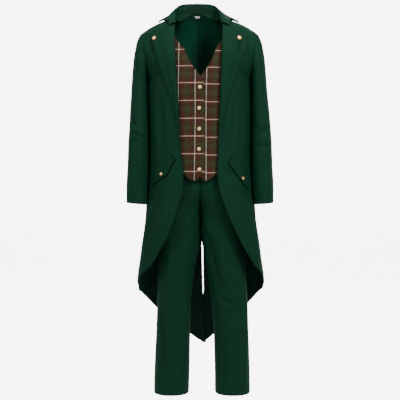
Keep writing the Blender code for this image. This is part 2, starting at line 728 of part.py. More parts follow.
def waistcoat_front(side):
    """Over the other front at the middle on the right, with its two points at the hem."""
    grid = []
    low_rows, high_rows = 9, 8
    for row in range(low_rows + high_rows + 1):
        line = []
        for share in WAISTCOAT_COLUMNS:
            if row <= low_rows:
                hem = WAISTCOAT_HEM[0].height
                for _ in range(3):
                    level = hem + (WAISTCOAT.pit - hem) * row / low_rows
                    start = edge_turn(WAISTCOAT, WAISTCOAT_EDGE, side, level)
                    turn = start + (SIDE_TURN - start) * share
                    hem = read(WAISTCOAT_HEM, body_point(WAISTCOAT, side, turn, level).x).height
            else:
                rise = math.sin(math.pi / 2 * (row - low_rows) / high_rows)
                level = WAISTCOAT.pit + (WAISTCOAT.crown - WAISTCOAT.pit) * rise
                start = edge_turn(WAISTCOAT, WAISTCOAT_EDGE, side, level)
                turn = start + (side_turn(WAISTCOAT, level) - start) * share
            lap = 0.0
            if side == RIGHT:
                across = body_point(WAISTCOAT, side, turn, level).x
                lap = WAISTCOAT_LAP * (1 - smooth(0.020, 0.055, across))
            line.append(moved_out(WAISTCOAT, side, turn, level, lap))
        grid.append(line)
    side_sheet("waistcoat_front", side, grid, WAISTCOAT_WALL, PLAID_BROWN)


def waistcoat_back(side):
    grid = back_panel(WAISTCOAT, side, lambda across: WAISTCOAT_BACK_HEM, 5, 7)
    side_sheet("waistcoat_back", side, grid, WAISTCOAT_WALL, GREEN_SHADE)


def neck_label():
    """A bare label on the inside of the waistcoat's back."""
    grid = []
    for height in (LABEL_TOP - LABEL_HEIGHT, LABEL_TOP - LABEL_HEIGHT / 2, LABEL_TOP):
        line = []
        for across in rising(-LABEL_WIDTH / 2, LABEL_WIDTH / 2, 3):
            level = level_of(WAISTCOAT, across, height)
            turn = 180 - turn_at(WAISTCOAT, abs(across), level)
            inside = -(WAISTCOAT_WALL + LABEL_WALL + 7 * SEAM)
            point = moved_out(WAISTCOAT, LEFT, turn, level, inside)
            point.x = math.copysign(point.x, across)
            line.append(placed(LEFT, point))
        grid.append(line)
    sheet("neck_label", grid, LABEL_WALL, LABEL_WHITE, inwards=False)


def button_mesh(name, radius):
    """Half of a button's outline: flat back, round rim and a domed middle, to be turned."""
    mesh = bpy.data.meshes.new(name)
    points = [(step.across * radius, 0, step.height * radius) for step in BUTTON_PROFILE]
    mesh.from_pydata(points, [(i, i + 1) for i in range(len(points) - 1)], [])
    return mesh


def button(name, radius, place, outward, steps=12):
    """A metal button on the cloth, facing the way that the cloth faces."""
    made = finished(name, button_mesh(name, radius), GOLD, 0.35, 1.0)
    turned = made.modifiers.new("turned", "SCREW")
    turned.steps = steps
    turned.render_steps = steps
    turned.use_merge_vertices = True
    turned.merge_threshold = 0.00001
    made.location = place
    made.rotation_euler = outward.to_track_quat("Z", "Y").to_euler()
    return made


def facing(side, point, beyond):
    """The way from a mirrored point to one further out, on its real side."""
    return (placed(side, beyond) - placed(side, point)).normalized()


def button_on(name, radius, shape, side, across, height, out):
    """A button set on a garment's front where it is seen from the front."""
    seat = at_place(shape, side, across, height, out)
    beyond = at_place(shape, side, across, height, out + 0.01)
    button(name, radius, placed(side, seat), facing(side, seat, beyond))


def buttons():
    for number, (across, height) in enumerate(WAISTCOAT_BUTTONS, 1):
        out = WAISTCOAT_LAP + BUTTON_STANDS_OFF
        name = f"waistcoat_button_{number}"
        button_on(name, WAISTCOAT_BUTTON_RADIUS, WAISTCOAT, RIGHT, -across, height, out)
    for side, (across, height) in LAPEL_BUTTONS.items():
        out = LAPEL_OUT + BUTTON_STANDS_OFF
        name = f"lapel_button_{SIDE_NAMES[side]}"
        button_on(name, LAPEL_BUTTON_RADIUS, COAT, side, across, height, out)
    for flap in FLAPS:
        out = FLAP_OUT + FLAP_HANG * flap.button_down / flap.point_drop + BUTTON_STANDS_OFF
        seat = flap_place(flap, flap.button_along, flap.button_down, out)
        beyond = flap_place(flap, flap.button_along, flap.button_down, out + 0.01)
        name = f"flap_button_{SIDE_NAMES[flap.side]}"
        button(name, FLAP_BUTTON_RADIUS, placed(flap.side, seat), facing(flap.side, seat, beyond))


def leg_rise(side, across, height):
    total = 0.0
    for fold in LEG_FOLDS:
        along = (height - fold.foot) / (fold.head - fold.foot)
        if fold.side == side and 0 < along < 1:
            centre = fold.foot_across + (fold.head_across - fold.foot_across) * along
            across_share = (across - centre) / fold.width
            total += fold.rise * math.sin(math.pi * along) * math.exp(-(across_share**2))
    return total


def leg_line(side, height, front):
    """Half of a leg's ring, from the inside leg or the middle seam round to the outside."""
    leg = read(TROUSERS, height)
    inner = leg.left_inner if side == LEFT else leg.right_inner
    outer = leg.left_outer if side == LEFT else leg.right_outer
    depth = -leg.front if front else leg.back
    inner_depth = leg.inner_front if front else leg.inner_back
    crest = inner + leg.crest * (outer - inner) / 0.13 if height < 0.5 else inner + leg.crest
    power = 2 / TROUSER_ROUNDNESS
    line = []
    for column in range(INSIDE_COLUMNS):
        around = math.pi / 2 * column / INSIDE_COLUMNS
        across = crest - (crest - inner) * math.cos(around) ** power
        forward = inner_depth + (depth - inner_depth) * math.sin(around) ** power
        line.append(Vector((across, forward, height)))
    for column in range(OUTSIDE_COLUMNS + 1):
        around = math.pi / 2 * column / OUTSIDE_COLUMNS
        across = crest + (outer - crest) * math.sin(around) ** power
        forward = depth * abs(math.cos(around)) ** power
        line.append(Vector((across, forward, height)))
    if front:
        for point in line:
            point.y -= leg_rise(side, point.x, height)
    return line


def trouser_panel(side, front):
    grid = [leg_line(side, height, front) for height in LEG_HEIGHTS + SEAT_HEIGHTS]
    real = [[placed(side, point) for point in row] for row in drawn_in(grid, DRAWN_IN)]
    name = "trouser_front" if front else "trouser_back"
    sheet(
        f"{name}_{SIDE_NAMES[side]}", real, TROUSER_WALL, GREEN, inwards=(side == LEFT) != front
    )


def trouser_waistband():
    """The band that the four panels are sewn to."""
    power = 2 / ROUNDNESS
    grid = []
    for height in (WAISTBAND.level + SEAM, WAISTBAND_TOP):
        line = []
        for column in range(WAISTBAND_COLUMNS):
            around = 2 * math.pi * column / WAISTBAND_COLUMNS
            depth = WAISTBAND.front if math.cos(around) > 0 else WAISTBAND.back
            across = WAISTBAND.half_width * signed_power(math.sin(around), power)
            line.append(Vector((across, -depth * signed_power(math.cos(around), power), height)))
        grid.append(line)
    sheet("trouser_waistband", grid, COAT_WALL, GREEN, around=True)


for old in list(bpy.data.objects):
    bpy.data.objects.remove(old)
costume = bpy.data.collections.new("historic_costume")
bpy.context.scene.collection.children.link(costume)
ground = bpy.data.objects.new("level_of_height_zero", None)
ground.location = (0, 0, -NECK_HEIGHT)
costume.objects.link(ground)

for each_side in (LEFT, RIGHT):
    coat_front(each_side)
    coat_back(each_side)
    coat_sleeve(each_side)
    coat_lapel(each_side)
    waistcoat_front(each_side)
    waistcoat_back(each_side)
    trouser_panel(each_side, front=True)
    trouser_panel(each_side, front=False)
for each_flap in FLAPS:
    coat_flap(each_flap)
coat_collar()
neck_label()
trouser_waistband()
buttons()
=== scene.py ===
# %% [markdown]
# # A worn tailcoat, waistcoat and trousers, with no wearer
#
# The solids of this costume are already made: hollow walls with the garment's true shape. This
# script dresses them. Each panel is made once more, much finer, as a thin shell on the same form,
# and gets the creases, seams, stitches and cloth that the real one shows.
#
# A panel is a grid of points that functions work out from sizes and short tables. The same could
# be sculpted by hand, but a grid that is worked out keeps its neighbours at an even distance.

# %% Load the frame
import json
import math

import bpy
import numpy as np
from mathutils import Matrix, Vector

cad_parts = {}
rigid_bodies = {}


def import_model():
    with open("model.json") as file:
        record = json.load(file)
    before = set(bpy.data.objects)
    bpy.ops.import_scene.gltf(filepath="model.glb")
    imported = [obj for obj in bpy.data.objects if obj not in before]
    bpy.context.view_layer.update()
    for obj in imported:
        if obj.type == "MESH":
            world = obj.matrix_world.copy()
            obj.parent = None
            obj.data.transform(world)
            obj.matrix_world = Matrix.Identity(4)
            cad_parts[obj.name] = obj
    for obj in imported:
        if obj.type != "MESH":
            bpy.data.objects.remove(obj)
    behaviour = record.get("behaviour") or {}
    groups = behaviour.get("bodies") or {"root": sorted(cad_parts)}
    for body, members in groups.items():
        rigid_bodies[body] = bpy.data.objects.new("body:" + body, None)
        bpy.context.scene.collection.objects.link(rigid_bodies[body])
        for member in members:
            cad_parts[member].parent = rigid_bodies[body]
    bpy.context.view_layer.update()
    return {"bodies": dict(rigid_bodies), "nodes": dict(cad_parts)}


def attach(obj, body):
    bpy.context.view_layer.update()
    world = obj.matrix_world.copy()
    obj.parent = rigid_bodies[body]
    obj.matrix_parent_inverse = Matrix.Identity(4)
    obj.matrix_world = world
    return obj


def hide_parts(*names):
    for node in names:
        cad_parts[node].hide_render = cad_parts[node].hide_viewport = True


def in_scene(name, data):
    """A new object for this data, in the scene."""
    thing = bpy.data.objects.new(name, data)
    bpy.context.scene.collection.objects.link(thing)
    return thing


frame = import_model()
root = list(frame["bodies"])[0]
print("nodes:", len(frame["nodes"]), "body:", root)

# %% [markdown]
# ## The camera and the light
#
# The set is photographed from three metres away, from just above the waist, with the camera level
# and its picture moved a little down. Large soft lights stand in front, above and to both sides,
# as in a shop's studio, and the floor runs up into a pale wall behind.

# %% Camera
NECK_HEIGHT = 1.430
CAMERA_AWAY = 3.0
CAMERA_HEIGHT = 0.900
PICTURE_MIDDLE = 0.7448
PICTURE_SIZE = 1.520
SENSOR = 36.0

camera_data = bpy.data.cameras.new("camera")
camera_data.sensor_width = SENSOR
camera_data.lens = SENSOR * CAMERA_AWAY / PICTURE_SIZE
camera_data.shift_y = (PICTURE_MIDDLE - CAMERA_HEIGHT) / PICTURE_SIZE
camera = in_scene("camera", camera_data)
camera.location = (0, -CAMERA_AWAY, CAMERA_HEIGHT - NECK_HEIGHT)
camera.rotation_euler = (math.radians(90), 0, 0)
bpy.context.scene.camera = camera
print("lens", round(camera_data.lens, 1), "mm")

# %% Lights
FLOOR_DROP = 0.30
STUDIO_WHITE = (0.55, 0.55, 0.55)
STUDIO_GLOW = 5.5
WORLD_GLOW = 0.40
LIGHTS = (
    # name, place, point that it looks at, side in metres, watts
    ("key", (1.6, -2.3, 1.7), (0, 0, 0.10), 1.0, 146),
    ("fill", (-2.2, -2.1, 1.1), (0, 0, 0.10), 1.3, 62),
    ("top", (0, -0.4, 2.0), (0, 0, -0.4), 1.6, 30),
    ("back", (0.4, 2.6, 1.2), (0, 0, -0.5), 1.8, 48),
)


def soft_light(name, place, aim, size, watts):
    """A square soft box that looks at a point."""
    data = bpy.data.lights.new(name, "AREA")
    data.shape = "SQUARE"
    data.size = size
    data.energy = watts
    light = in_scene(name, data)
    light.location = place
    light.rotation_euler = (Vector(aim) - Vector(place)).to_track_quat("-Z", "Y").to_euler()


for light in LIGHTS:
    soft_light(*light)

world = bpy.data.worlds.new("studio")
world.use_nodes = True
sky = world.node_tree.nodes["Background"].inputs
sky["Color"].default_value = (1, 1, 1, 1)
sky["Strength"].default_value = WORLD_GLOW
bpy.context.scene.world = world

# %% Floor
WALL_BEHIND, WALL_TOP, BEND = 4.4, 4.0, 1.0
STUDIO_FRONT, STUDIO_SIDE = -7.0, 6.0
FLOOR_LEVEL = -NECK_HEIGHT - FLOOR_DROP


def studio_sweep():
    """A floor that turns up into a wall behind the set."""
    bend_start = WALL_BEHIND - BEND
    turns = [math.radians(angle) for angle in range(10, 91, 10)]
    outline = [(STUDIO_FRONT, FLOOR_LEVEL), (bend_start, FLOOR_LEVEL)]
    outline += [(bend_start + BEND * math.sin(a), FLOOR_LEVEL + BEND - BEND * math.cos(a)) for a in turns]
    outline.append((WALL_BEHIND, WALL_TOP))
    points = [(side, y, z) for y, z in outline for side in (-STUDIO_SIDE, STUDIO_SIDE)]
    faces = [(2 * i, 2 * i + 1, 2 * i + 3, 2 * i + 2) for i in range(len(outline) - 1)]
    mesh = bpy.data.meshes.new("studio")
    mesh.from_pydata(points, [], faces)
    mesh.shade_smooth()
    paint = bpy.data.materials.new("studio_white")
    paint.use_nodes = True
    shader = paint.node_tree.nodes["Principled BSDF"]
    shader.inputs["Base Color"].default_value = (*STUDIO_WHITE, 1)
    shader.inputs["Roughness"].default_value = 0.9
    shader.inputs["Emission Color"].default_value = (1, 1, 1, 1)
    shader.inputs["Emission Strength"].default_value = STUDIO_GLOW
    mesh.materials.append(paint)
    studio = in_scene("studio", mesh)
    lit = bpy.data.collections.new("lit_by_the_studio")
    lit.objects.link(studio)
    studio.light_linking.receiver_collection = lit


studio_sweep()
print("floor at", FLOOR_LEVEL)

# %% [markdown]
# ## Tables that are read on smooth curves
#
# A tailor knows a coat by a few measures at a few heights. Each table below has named columns and
# one row for each height. Reading one between its rows follows a cubic curve whose slopes are kept
# so small that it never overshoots a row, which is what keeps cloth from bulging by itself.


# %% Reading a table
def table(columns, *rows):
    """A table with named columns; its first column is what it is read by."""
    return {"columns": columns.split(), "rows": np.array(rows, float)}


def read(source, at):
    """Every column of a table at one or many places, by name."""
    rows = source["rows"]
    keys = rows[:, 0]
    at = np.clip(np.asarray(at, float), keys[0], keys[-1])
    i = np.clip(np.searchsorted(keys, at, side="right") - 1, 0, len(keys) - 2)
    gaps = np.diff(keys)[:, None]
    slopes = np.diff(rows, axis=0) / gaps
    product = slopes[:-1] * slopes[1:]
    total = np.where(product > 0, slopes[:-1] + slopes[1:], 1.0)
    tangents = np.vstack([slopes[:1], np.where(product > 0, 2 * product / total, 0.0), slopes[-1:]])
    gap = gaps[i]
    t = (at[..., None] - keys[i][..., None]) / gap
    values = (
        (1 + 2 * t) * (1 - t) ** 2 * rows[i]
        + t * (1 - t) ** 2 * gap * tangents[i]
        + t * t * (3 - 2 * t) * rows[i + 1]
        + t * t * (t - 1) * gap * tangents[i + 1]
    )
    return {name: values[..., n] for n, name in enumerate(source["columns"])}


def smooth(low, high, at):
    """0 below LOW, 1 above HIGH, and an easy curve between them."""
    share = np.clip((np.asarray(at, float) - low) / (high - low), 0, 1)
    return share * share * (3 - 2 * share)


def signed_power(value, power):
    return np.sign(value) * np.abs(value) ** power


# %% [markdown]
# ## The body of the coat and the waistcoat
#
# Coat and waistcoat share one set of rings: each is a squarish oval with its own half width and
# its own depth in front and behind. Above the armpit the ovals close over the shoulders along the
# shoulder line. A place on the cloth is named by its turn in degrees from the centre front and by
# its level, so a lapel or a flap can be laid on the very same surface.

# %% Rings of the body
LEFT, RIGHT = 1, -1
SIDES = (LEFT, RIGHT)
SIDE_NAMES = {LEFT: "left", RIGHT: "right"}
ROUNDNESS = 2.4
SHOULDER_CURVE = 2.7
BACK_NECK_SHARE = 0.93
SIDE_TURN = 90.0
SKIRT_SIDE_TURN = 97.0
ARM_TOUCH, ARM_REACH, ARM_FROM, ARM_TO = 0.0064, 14.0, (0.66, 0.76), (1.17, 1.25)
SKIRT_OUT, SKIRT_OUT_TURN, SKIRT_REACH, SKIRT_TO = 0.0062, 95.0, 32.0, (0.62, 0.90)
EDGE_ROUNDS, HEM_ROUNDS = 4, 5

RINGS = table(
    "level half_width front back",
    (0.17, 0.2180, 0.135, 0.150),
    (0.30, 0.2330, 0.135, 0.148),
    (0.44, 0.2378, 0.135, 0.143),
    (0.55, 0.2240, 0.135, 0.138),
    (0.67, 0.2070, 0.132, 0.134),
    (0.80, 0.1920, 0.128, 0.128),
    (0.90, 0.1888, 0.127, 0.122),
    (1.00, 0.1880, 0.128, 0.119),
    (1.10, 0.1885, 0.132, 0.122),
    (1.20, 0.1890, 0.135, 0.125),
    (1.2238, 0.1947, 0.135, 0.126),
    (1.2476, 0.2038, 0.135, 0.127),
    (1.2952, 0.2250, 0.135, 0.128),
    (1.3666, 0.2446, 0.134, 0.128),
    (1.4142, 0.2487, 0.134, 0.127),
    (1.4380, 0.2500, 0.134, 0.127),
)

COAT = {
    "name": "coat", "pit": 1.200, "crown": 1.438, "fall": 0.076, "reach": 0.2356, "neck": 0.085,
    "rise": 0.044, "arm_foot": 0.1890, "arm_tip": 0.2265, "arm_power": 1.2, "inset": (0, 0, 0),
}
WAISTCOAT = {
    "name": "waistcoat", "pit": 1.200, "crown": 1.4315, "fall": 0.0735, "reach": 0.2356, "neck": 0.083,
    "rise": 0.048, "arm_foot": 0.1805, "arm_tip": 0.1650, "arm_power": 1.0, "inset": (0.0085, 0.0110, 0.0100),
}
FRONT_ROUND, BACK_ROUND = 2.4, 3.0

COAT_EDGE = table(
    "height right left",
    (0.443, 0.2335, 0.2345),
    (0.464, 0.2241, 0.2290),
    (0.508, 0.1814, 0.2006),
    (0.592, 0.1309, 0.1510),
    (0.6457, 0.1036, 0.1251),
    (0.704, 0.0841, 0.0983),
    (0.755, 0.0681, 0.0794),
    (0.790, 0.0597, 0.0692),
    (0.853, 0.0597, 0.0619),
    (0.952, 0.0710, 0.0662),
    (1.079, 0.0754, 0.0710),
    (1.188, 0.0808, 0.0775),
    (1.300, 0.0873, 0.0807),
    (1.405, 0.0905, 0.0850),
    (1.440, 0.0860, 0.0840),
)
WAISTCOAT_EDGE = table(
    "height right left",
    (0.800, -0.0175, -0.0175),
    (1.165, -0.0175, -0.0175),
    (1.188, -0.0160, -0.0110),
    (1.202, -0.0062, 0.0030),
    (1.2533, 0.0310, 0.0401),
    (1.3055, 0.0562, 0.0613),
    (1.359, 0.0905, 0.0895),
    (1.440, 0.0930, 0.0900),
)

# %% [markdown]
# The large folds are in the solids too, so they are told here with the same sizes: a fold runs
# from a turn at its foot to a turn at its head, and swells between them.

# %% Large folds
COAT_FOLDS = (
    # side, turn at the foot, turn at the head, foot, head, half width in degrees, rise
    (RIGHT, 52, 56, 0.72, 1.30, 6, 0.0030),
    (LEFT, 38, 46, 0.86, 1.24, 6, 0.0030),
    (0, 70, 74, 0.44, 0.84, 9, 0.0045),
    (0, 112, 106, 0.34, 0.96, 9, 0.0050),
    (RIGHT, 136, 132, 0.22, 0.92, 9, -0.0045),
    (LEFT, 140, 134, 0.22, 0.88, 9, -0.0045),
    (0, 158, 160, 0.18, 0.86, 9, 0.0060),
)


def fold_rise(folds, side, place, level):
    """How far the folds of this side, and those of both sides (0), stand out."""
    total = 0.0
    for where, foot_place, head_place, foot, head, width, rise in folds:
        if where in (0, side):
            along = np.clip((level - foot) / (head - foot), 0, 1)
            centre = foot_place + (head_place - foot_place) * along
            total = total + rise * np.sin(np.pi * along) * np.exp(-(((place - centre) / width) ** 2))
    return total


# %% Places on the body
def sided(name, side):
    return f"{name}_{SIDE_NAMES[side]}"


def level_up(shape, share):
    """The level at a share of the way from the armpit to the crown."""
    return shape["pit"] + (shape["crown"] - shape["pit"]) * share


def share_up(shape, level):
    return np.clip((level - shape["pit"]) / (shape["crown"] - shape["pit"]), 0, 1)


def shoulder_height(shape, across):
    outward = np.minimum(np.abs(across) / shape["neck"], 1.0)
    behind_neck = shape["rise"] * (1 - outward**2) ** 2
    fall = shape["fall"] * (np.abs(across) / shape["reach"]) ** SHOULDER_CURVE
    return shape["crown"] + behind_neck - fall


def closed_over(shape, across, level):
    """Heights on this level's ring, which above the armpit closes over the shoulder."""
    share = share_up(shape, level)
    over = shape["pit"] + share * (shoulder_height(shape, across) - shape["pit"])
    return np.where(share > 0, over, level)


def body(shape, side, turn, level):
    """Points of a garment's outer face; across is positive towards this side."""
    turn, level = np.broadcast_arrays(np.asarray(turn, float), np.asarray(level, float))
    ring = read(RINGS, level)
    inset = shape["inset"]
    power = 2 / ROUNDNESS
    share = share_up(shape, level)
    sine, cosine = np.sin(np.radians(turn)), np.cos(np.radians(turn))
    across = (ring["half_width"] - inset[0]) * signed_power(sine, power)
    front = -(ring["front"] - inset[1]) * np.sqrt(1 - share**FRONT_ROUND)
    behind = (ring["back"] - inset[2]) * np.sqrt(1 - share**BACK_ROUND)
    forward = np.where(cosine > 0, front, behind) * np.abs(cosine) ** power
    height = closed_over(shape, across, level)
    if shape is COAT:
        beside = np.exp(-(((turn - SIDE_TURN) / ARM_REACH) ** 2))
        beside = beside * smooth(*ARM_FROM, level) * (1 - smooth(*ARM_TO, level))
        skirt = np.exp(-(((turn - SKIRT_OUT_TURN) / SKIRT_REACH) ** 2)) * (side == LEFT)
        skirt = skirt * (1 - smooth(*SKIRT_TO, level))
        rise = fold_rise(COAT_FOLDS, side, turn, level) + ARM_TOUCH * beside + SKIRT_OUT * skirt
        stand = 1 + rise / np.hypot(across, forward)
        across, forward = across * stand, forward * stand
    return np.stack([across, forward, height], axis=-1)


def outward(shape, side, turn, level):
    """The way that the cloth faces at these places."""
    level = np.minimum(level, shape["crown"] - 0.002)
    aside = body(shape, side, turn + 0.5, level) - body(shape, side, turn - 0.5, level)
    up = body(shape, side, turn, level + 0.001) - body(shape, side, turn, level - 0.001)
    way = np.cross(aside, up)
    return way / np.linalg.norm(way, axis=-1, keepdims=True)


def turn_to(across, half_width):
    share = np.clip(across / half_width, -1, 1)
    return np.degrees(np.arcsin(signed_power(share, ROUNDNESS / 2)))


def turn_at(shape, across, level):
    return turn_to(across, read(RINGS, level)["half_width"] - shape["inset"][0])


def level_of(shape, across, height):
    """The level whose ring passes a place that is seen from the front."""
    height = np.asarray(height, float)
    over = shoulder_height(shape, across) - shape["pit"]
    raised = shape["pit"] + (height - shape["pit"]) / over * (shape["crown"] - shape["pit"])
    return np.where(height <= shape["pit"], height, raised)


def edge_turn(shape, edges, side, level):
    """Where a front's edge lies on this level's ring."""
    height = level
    for _ in range(EDGE_ROUNDS):
        across = read(edges, height)[SIDE_NAMES[side]]
        height = closed_over(shape, across, level)
    return turn_at(shape, across, level)


def side_turn(shape, level):
    """Where the side seam, and above it the armhole, lies on this level's ring."""
    rise = share_up(shape, level) ** shape["arm_power"]
    across = shape["arm_foot"] + (shape["arm_tip"] - shape["arm_foot"]) * rise
    below = SIDE_TURN + (SKIRT_SIDE_TURN - SIDE_TURN) * (1 - smooth(0.55, 1.0, level))
    return np.where(level <= shape["pit"], below, turn_at(shape, across, level))


print("chest at the pit:", body(COAT, LEFT, 90.0, 1.2).round(3), body(COAT, LEFT, 180.0, 1.2).round(3))

# %% [markdown]
# ## Creases
#
# Cloth on a standing figure creases where it turns, hangs or is pulled: under the lapel, at the
# elbow, from the armpit, behind the knee. Each crease here is a short path on the cloth with its
# own width, rise (a ridge) or depth (a trough) and bow. It moves the points along their normals,
# fades out at both ends, and no two are alike. A cloth simulation would also crease, but not in
# the places where the real set does.

# %% Moving points where creases pass
BOW_STEPS = 9
COAT_STRENGTH, SLEEVE_STRENGTH, LEG_STRENGTH = 1.30, 1.10, 1.45
DEEP_CREASE, CREASE_SHADE = 0.0060, 0.30
WAVINESS = 0.0006


def path_between(start, end, bow):
    """Two-number places from START to END, bowed sideways by a share of the distance."""
    start, end = np.array(start, float), np.array(end, float)
    along = np.linspace(0, 1, BOW_STEPS)[:, None]
    aside = np.array([-(end - start)[1], (end - start)[0]])
    return start + (end - start) * along + aside * bow * np.sin(np.pi * along)


def laid(rows, on_cloth):
    """Creases from rows of two places, a bow, a half width and a rise, with ON_CLOTH to lay places."""
    return [(on_cloth(path_between(row[:2], row[2:4], row[4])), row[5], row[6]) for row in rows]


def crease_rise(points, creases):
    """How far each point stands out: CREASES are (path of 3-D points, half width, rise)."""
    total = np.zeros(points.shape[:-1])
    for path, width, rise in creases:
        low, high = path.min(axis=0) - 3 * width, path.max(axis=0) + 3 * width
        near = np.all((points > low) & (points < high), axis=-1)
        if not near.any():
            continue
        here = points[near]
        best, along = np.full(len(here), np.inf), np.zeros(len(here))
        for k, (start, end) in enumerate(zip(path[:-1], path[1:])):
            step = end - start
            t = np.clip((here - start) @ step / max(step @ step, 1e-12), 0, 1)
            distance = ((here - start - t[:, None] * step) ** 2).sum(axis=1)
            closer = distance < best
            best = np.where(closer, distance, best)
            along = np.where(closer, (k + t) / (len(path) - 1), along)
        total[near] += rise * np.exp(-best / width**2) * np.sin(np.pi * along) ** 0.7
    return total


def creased(points, creases, strength):
    """The rise of these creases, and the painted shade at the foot of a deep one."""
    rise = strength * crease_rise(points, creases)
    return rise, CREASE_SHADE * np.clip(-rise / DEEP_CREASE, 0, 1)


def unevenness(points, size=WAVINESS):
    """The slow waviness that no pressed cloth is free of."""
    x, y, z = np.moveaxis(points, -1, 0)
    waves = np.sin(31 * x + 17 * z + 1.3) + np.sin(23 * y - 29 * z + 0.4) + np.sin(47 * z + 19 * x + 2.1)
    return size * waves / 2


# %% Creases of the coat's body
COAT_CREASES = {
    # across and height at the start and at the end, bow, half width, rise
    (RIGHT, "front"): (
        (0.180, 1.335, 0.156, 1.272, 0.10, 0.009, -0.0045),
        (0.168, 1.345, 0.142, 1.290, 0.06, 0.008, 0.0020),
        (0.166, 1.150, 0.156, 0.960, 0.03, 0.009, 0.0035),
        (0.148, 1.120, 0.138, 0.930, -0.03, 0.011, -0.0028),
        (0.178, 1.190, 0.150, 1.245, 0.12, 0.008, -0.0026),
        (0.112, 0.880, 0.182, 0.560, -0.05, 0.014, 0.0026),
        (0.140, 0.780, 0.200, 0.520, 0.06, 0.012, -0.0024),
        (0.086, 0.900, 0.120, 0.842, 0.10, 0.010, -0.0016),
    ),
    (LEFT, "front"): (
        (0.158, 1.345, 0.158, 1.262, -0.10, 0.009, -0.0045),
        (0.172, 1.330, 0.170, 1.280, 0.05, 0.009, 0.0022),
        (0.114, 1.090, 0.102, 0.965, 0.04, 0.010, 0.0030),
        (0.130, 1.110, 0.122, 0.975, -0.04, 0.010, -0.0028),
        (0.180, 1.185, 0.148, 1.232, -0.12, 0.008, -0.0024),
        (0.160, 1.060, 0.150, 0.900, 0.05, 0.012, 0.0022),
        (0.118, 0.860, 0.190, 0.545, 0.05, 0.013, 0.0026),
        (0.158, 0.790, 0.210, 0.530, -0.05, 0.012, -0.0024),
        (0.082, 0.890, 0.118, 0.828, -0.10, 0.010, -0.0016),
    ),
    (RIGHT, "back"): (
        (0.175, 1.200, 0.110, 1.290, 0.14, 0.011, -0.0026),
        (0.168, 1.130, 0.120, 1.215, 0.10, 0.010, 0.0018),
        (0.060, 1.080, 0.068, 0.860, 0.04, 0.013, 0.0024),
        (0.042, 0.955, 0.150, 0.925, -0.08, 0.010, -0.0020),
        (0.100, 0.780, 0.130, 0.420, 0.03, 0.016, -0.0030),
        (0.044, 0.720, 0.062, 0.300, -0.02, 0.015, 0.0024),
    ),
    (LEFT, "back"): (
        (0.178, 1.190, 0.104, 1.275, -0.12, 0.012, -0.0026),
        (0.074, 1.060, 0.070, 0.880, -0.05, 0.014, 0.0022),
        (0.036, 0.980, 0.140, 0.930, 0.10, 0.009, -0.0018),
        (0.092, 0.760, 0.122, 0.380, -0.04, 0.015, -0.0030),
        (0.050, 0.700, 0.058, 0.330, 0.02, 0.014, 0.0026),
    ),
}


def on_body(shape, side, where, places):
    """Points of the outer face under places that are seen from the front or from behind."""
    across, height = places[:, 0], places[:, 1]
    level = level_of(shape, across, height)
    turn = turn_at(shape, across, level)
    return body(shape, side, turn if where == "front" else 180 - turn, level)


def creases_of(groups, shape, side):
    return [
        crease
        for part in ("front", "back")
        for crease in laid(groups[side, part], lambda places: on_body(shape, side, part, places))
    ]


coat_creases = {side: creases_of(COAT_CREASES, COAT, side) for side in SIDES}


def coat_rise(side, flat):
    """How far the creased face stands out from the plain one, and its painted shade."""
    rise, shade = creased(flat, coat_creases[side], COAT_STRENGTH)
    return rise + unevenness(flat), shade


def coat_face(side, turn, level, out=0.0):
    """Places on the coat's creased face, OUT beyond it, and their painted shade."""
    flat = body(COAT, side, turn, level)
    rise, shade = coat_rise(side, flat)
    return flat + outward(COAT, side, turn, level) * (rise + out)[..., None], shade


print("creases on the coat's body:", sum(len(rows) for rows in COAT_CREASES.values()))

# %% [markdown]
# ## From a grid to a piece of cloth
#
# A panel's grid has rows that run across it and columns that run up it. Its mesh keeps the same
# order. A map in metres goes with it, so that a weave keeps its real scale wherever the panel
# bends. The Solidify modifier gives the wall, inwards, just as in the solids.
#
# A tailor's seam shows as a soft valley. So the points close to a sewn edge are turned down a
# little, and two sewn panels meet at the valley's floor.

# %% Grid helpers
NECK_LEAN, LEAN_FROM, LEAN_TO = 0.009, 1.400, 1.470
CHEST_LEAN, CHEST_LEAN_FROM, CHEST_LEAN_TO = 0.003, 1.000, 1.200
SEAM_STEPS, SEAM_GAP = (0.0012, 0.0032, 0.0060), 1.3
ALL_EDGES = "left right foot head"
SEAM_DEPTH, SEAM_WIDTH, SHADOW_WIDTH = 0.0009, 0.0028, 0.0024
SEAM_SHADE, HIGH_SEAM_SHADE = 0.80, 0.35
COAT_WALL = 0.0020


def placed(side, points):
    """Mirrored points at their real place: on their side, leaning with the neck, in world metres."""
    across, forward, height = np.moveaxis(points, -1, 0)
    lean = NECK_LEAN * smooth(LEAN_FROM, LEAN_TO, height)
    lean = lean + CHEST_LEAN * smooth(CHEST_LEAN_FROM, CHEST_LEAN_TO, height)
    return np.stack([side * across - lean, forward, height - NECK_HEIGHT], axis=-1)


def shares(count, length, low=True, high=True):
    """Even shares from 0 to 1, with closer ones near the sewn ends for a seam's soft valley."""
    near = np.array(SEAM_STEPS) / length
    even = np.linspace(0, 1, count)
    if low:
        even = np.concatenate([[0], near, even[even > SEAM_GAP * near[-1]]])
    if high:
        even = np.concatenate([even[even < 1 - SEAM_GAP * near[-1]], 1 - near[::-1], [1]])
    return even


def towards_shoulder(rows):
    """Shares up to 1 whose steps get shorter, for rows that close over the shoulder."""
    return np.sin(np.pi / 2 * np.arange(1, rows + 1) / rows)


def grid_normals(grid):
    aside = np.gradient(grid, axis=1)
    up = np.gradient(grid, axis=0)
    way = np.cross(aside, up)
    return way / np.maximum(np.linalg.norm(way, axis=-1, keepdims=True), 1e-9)


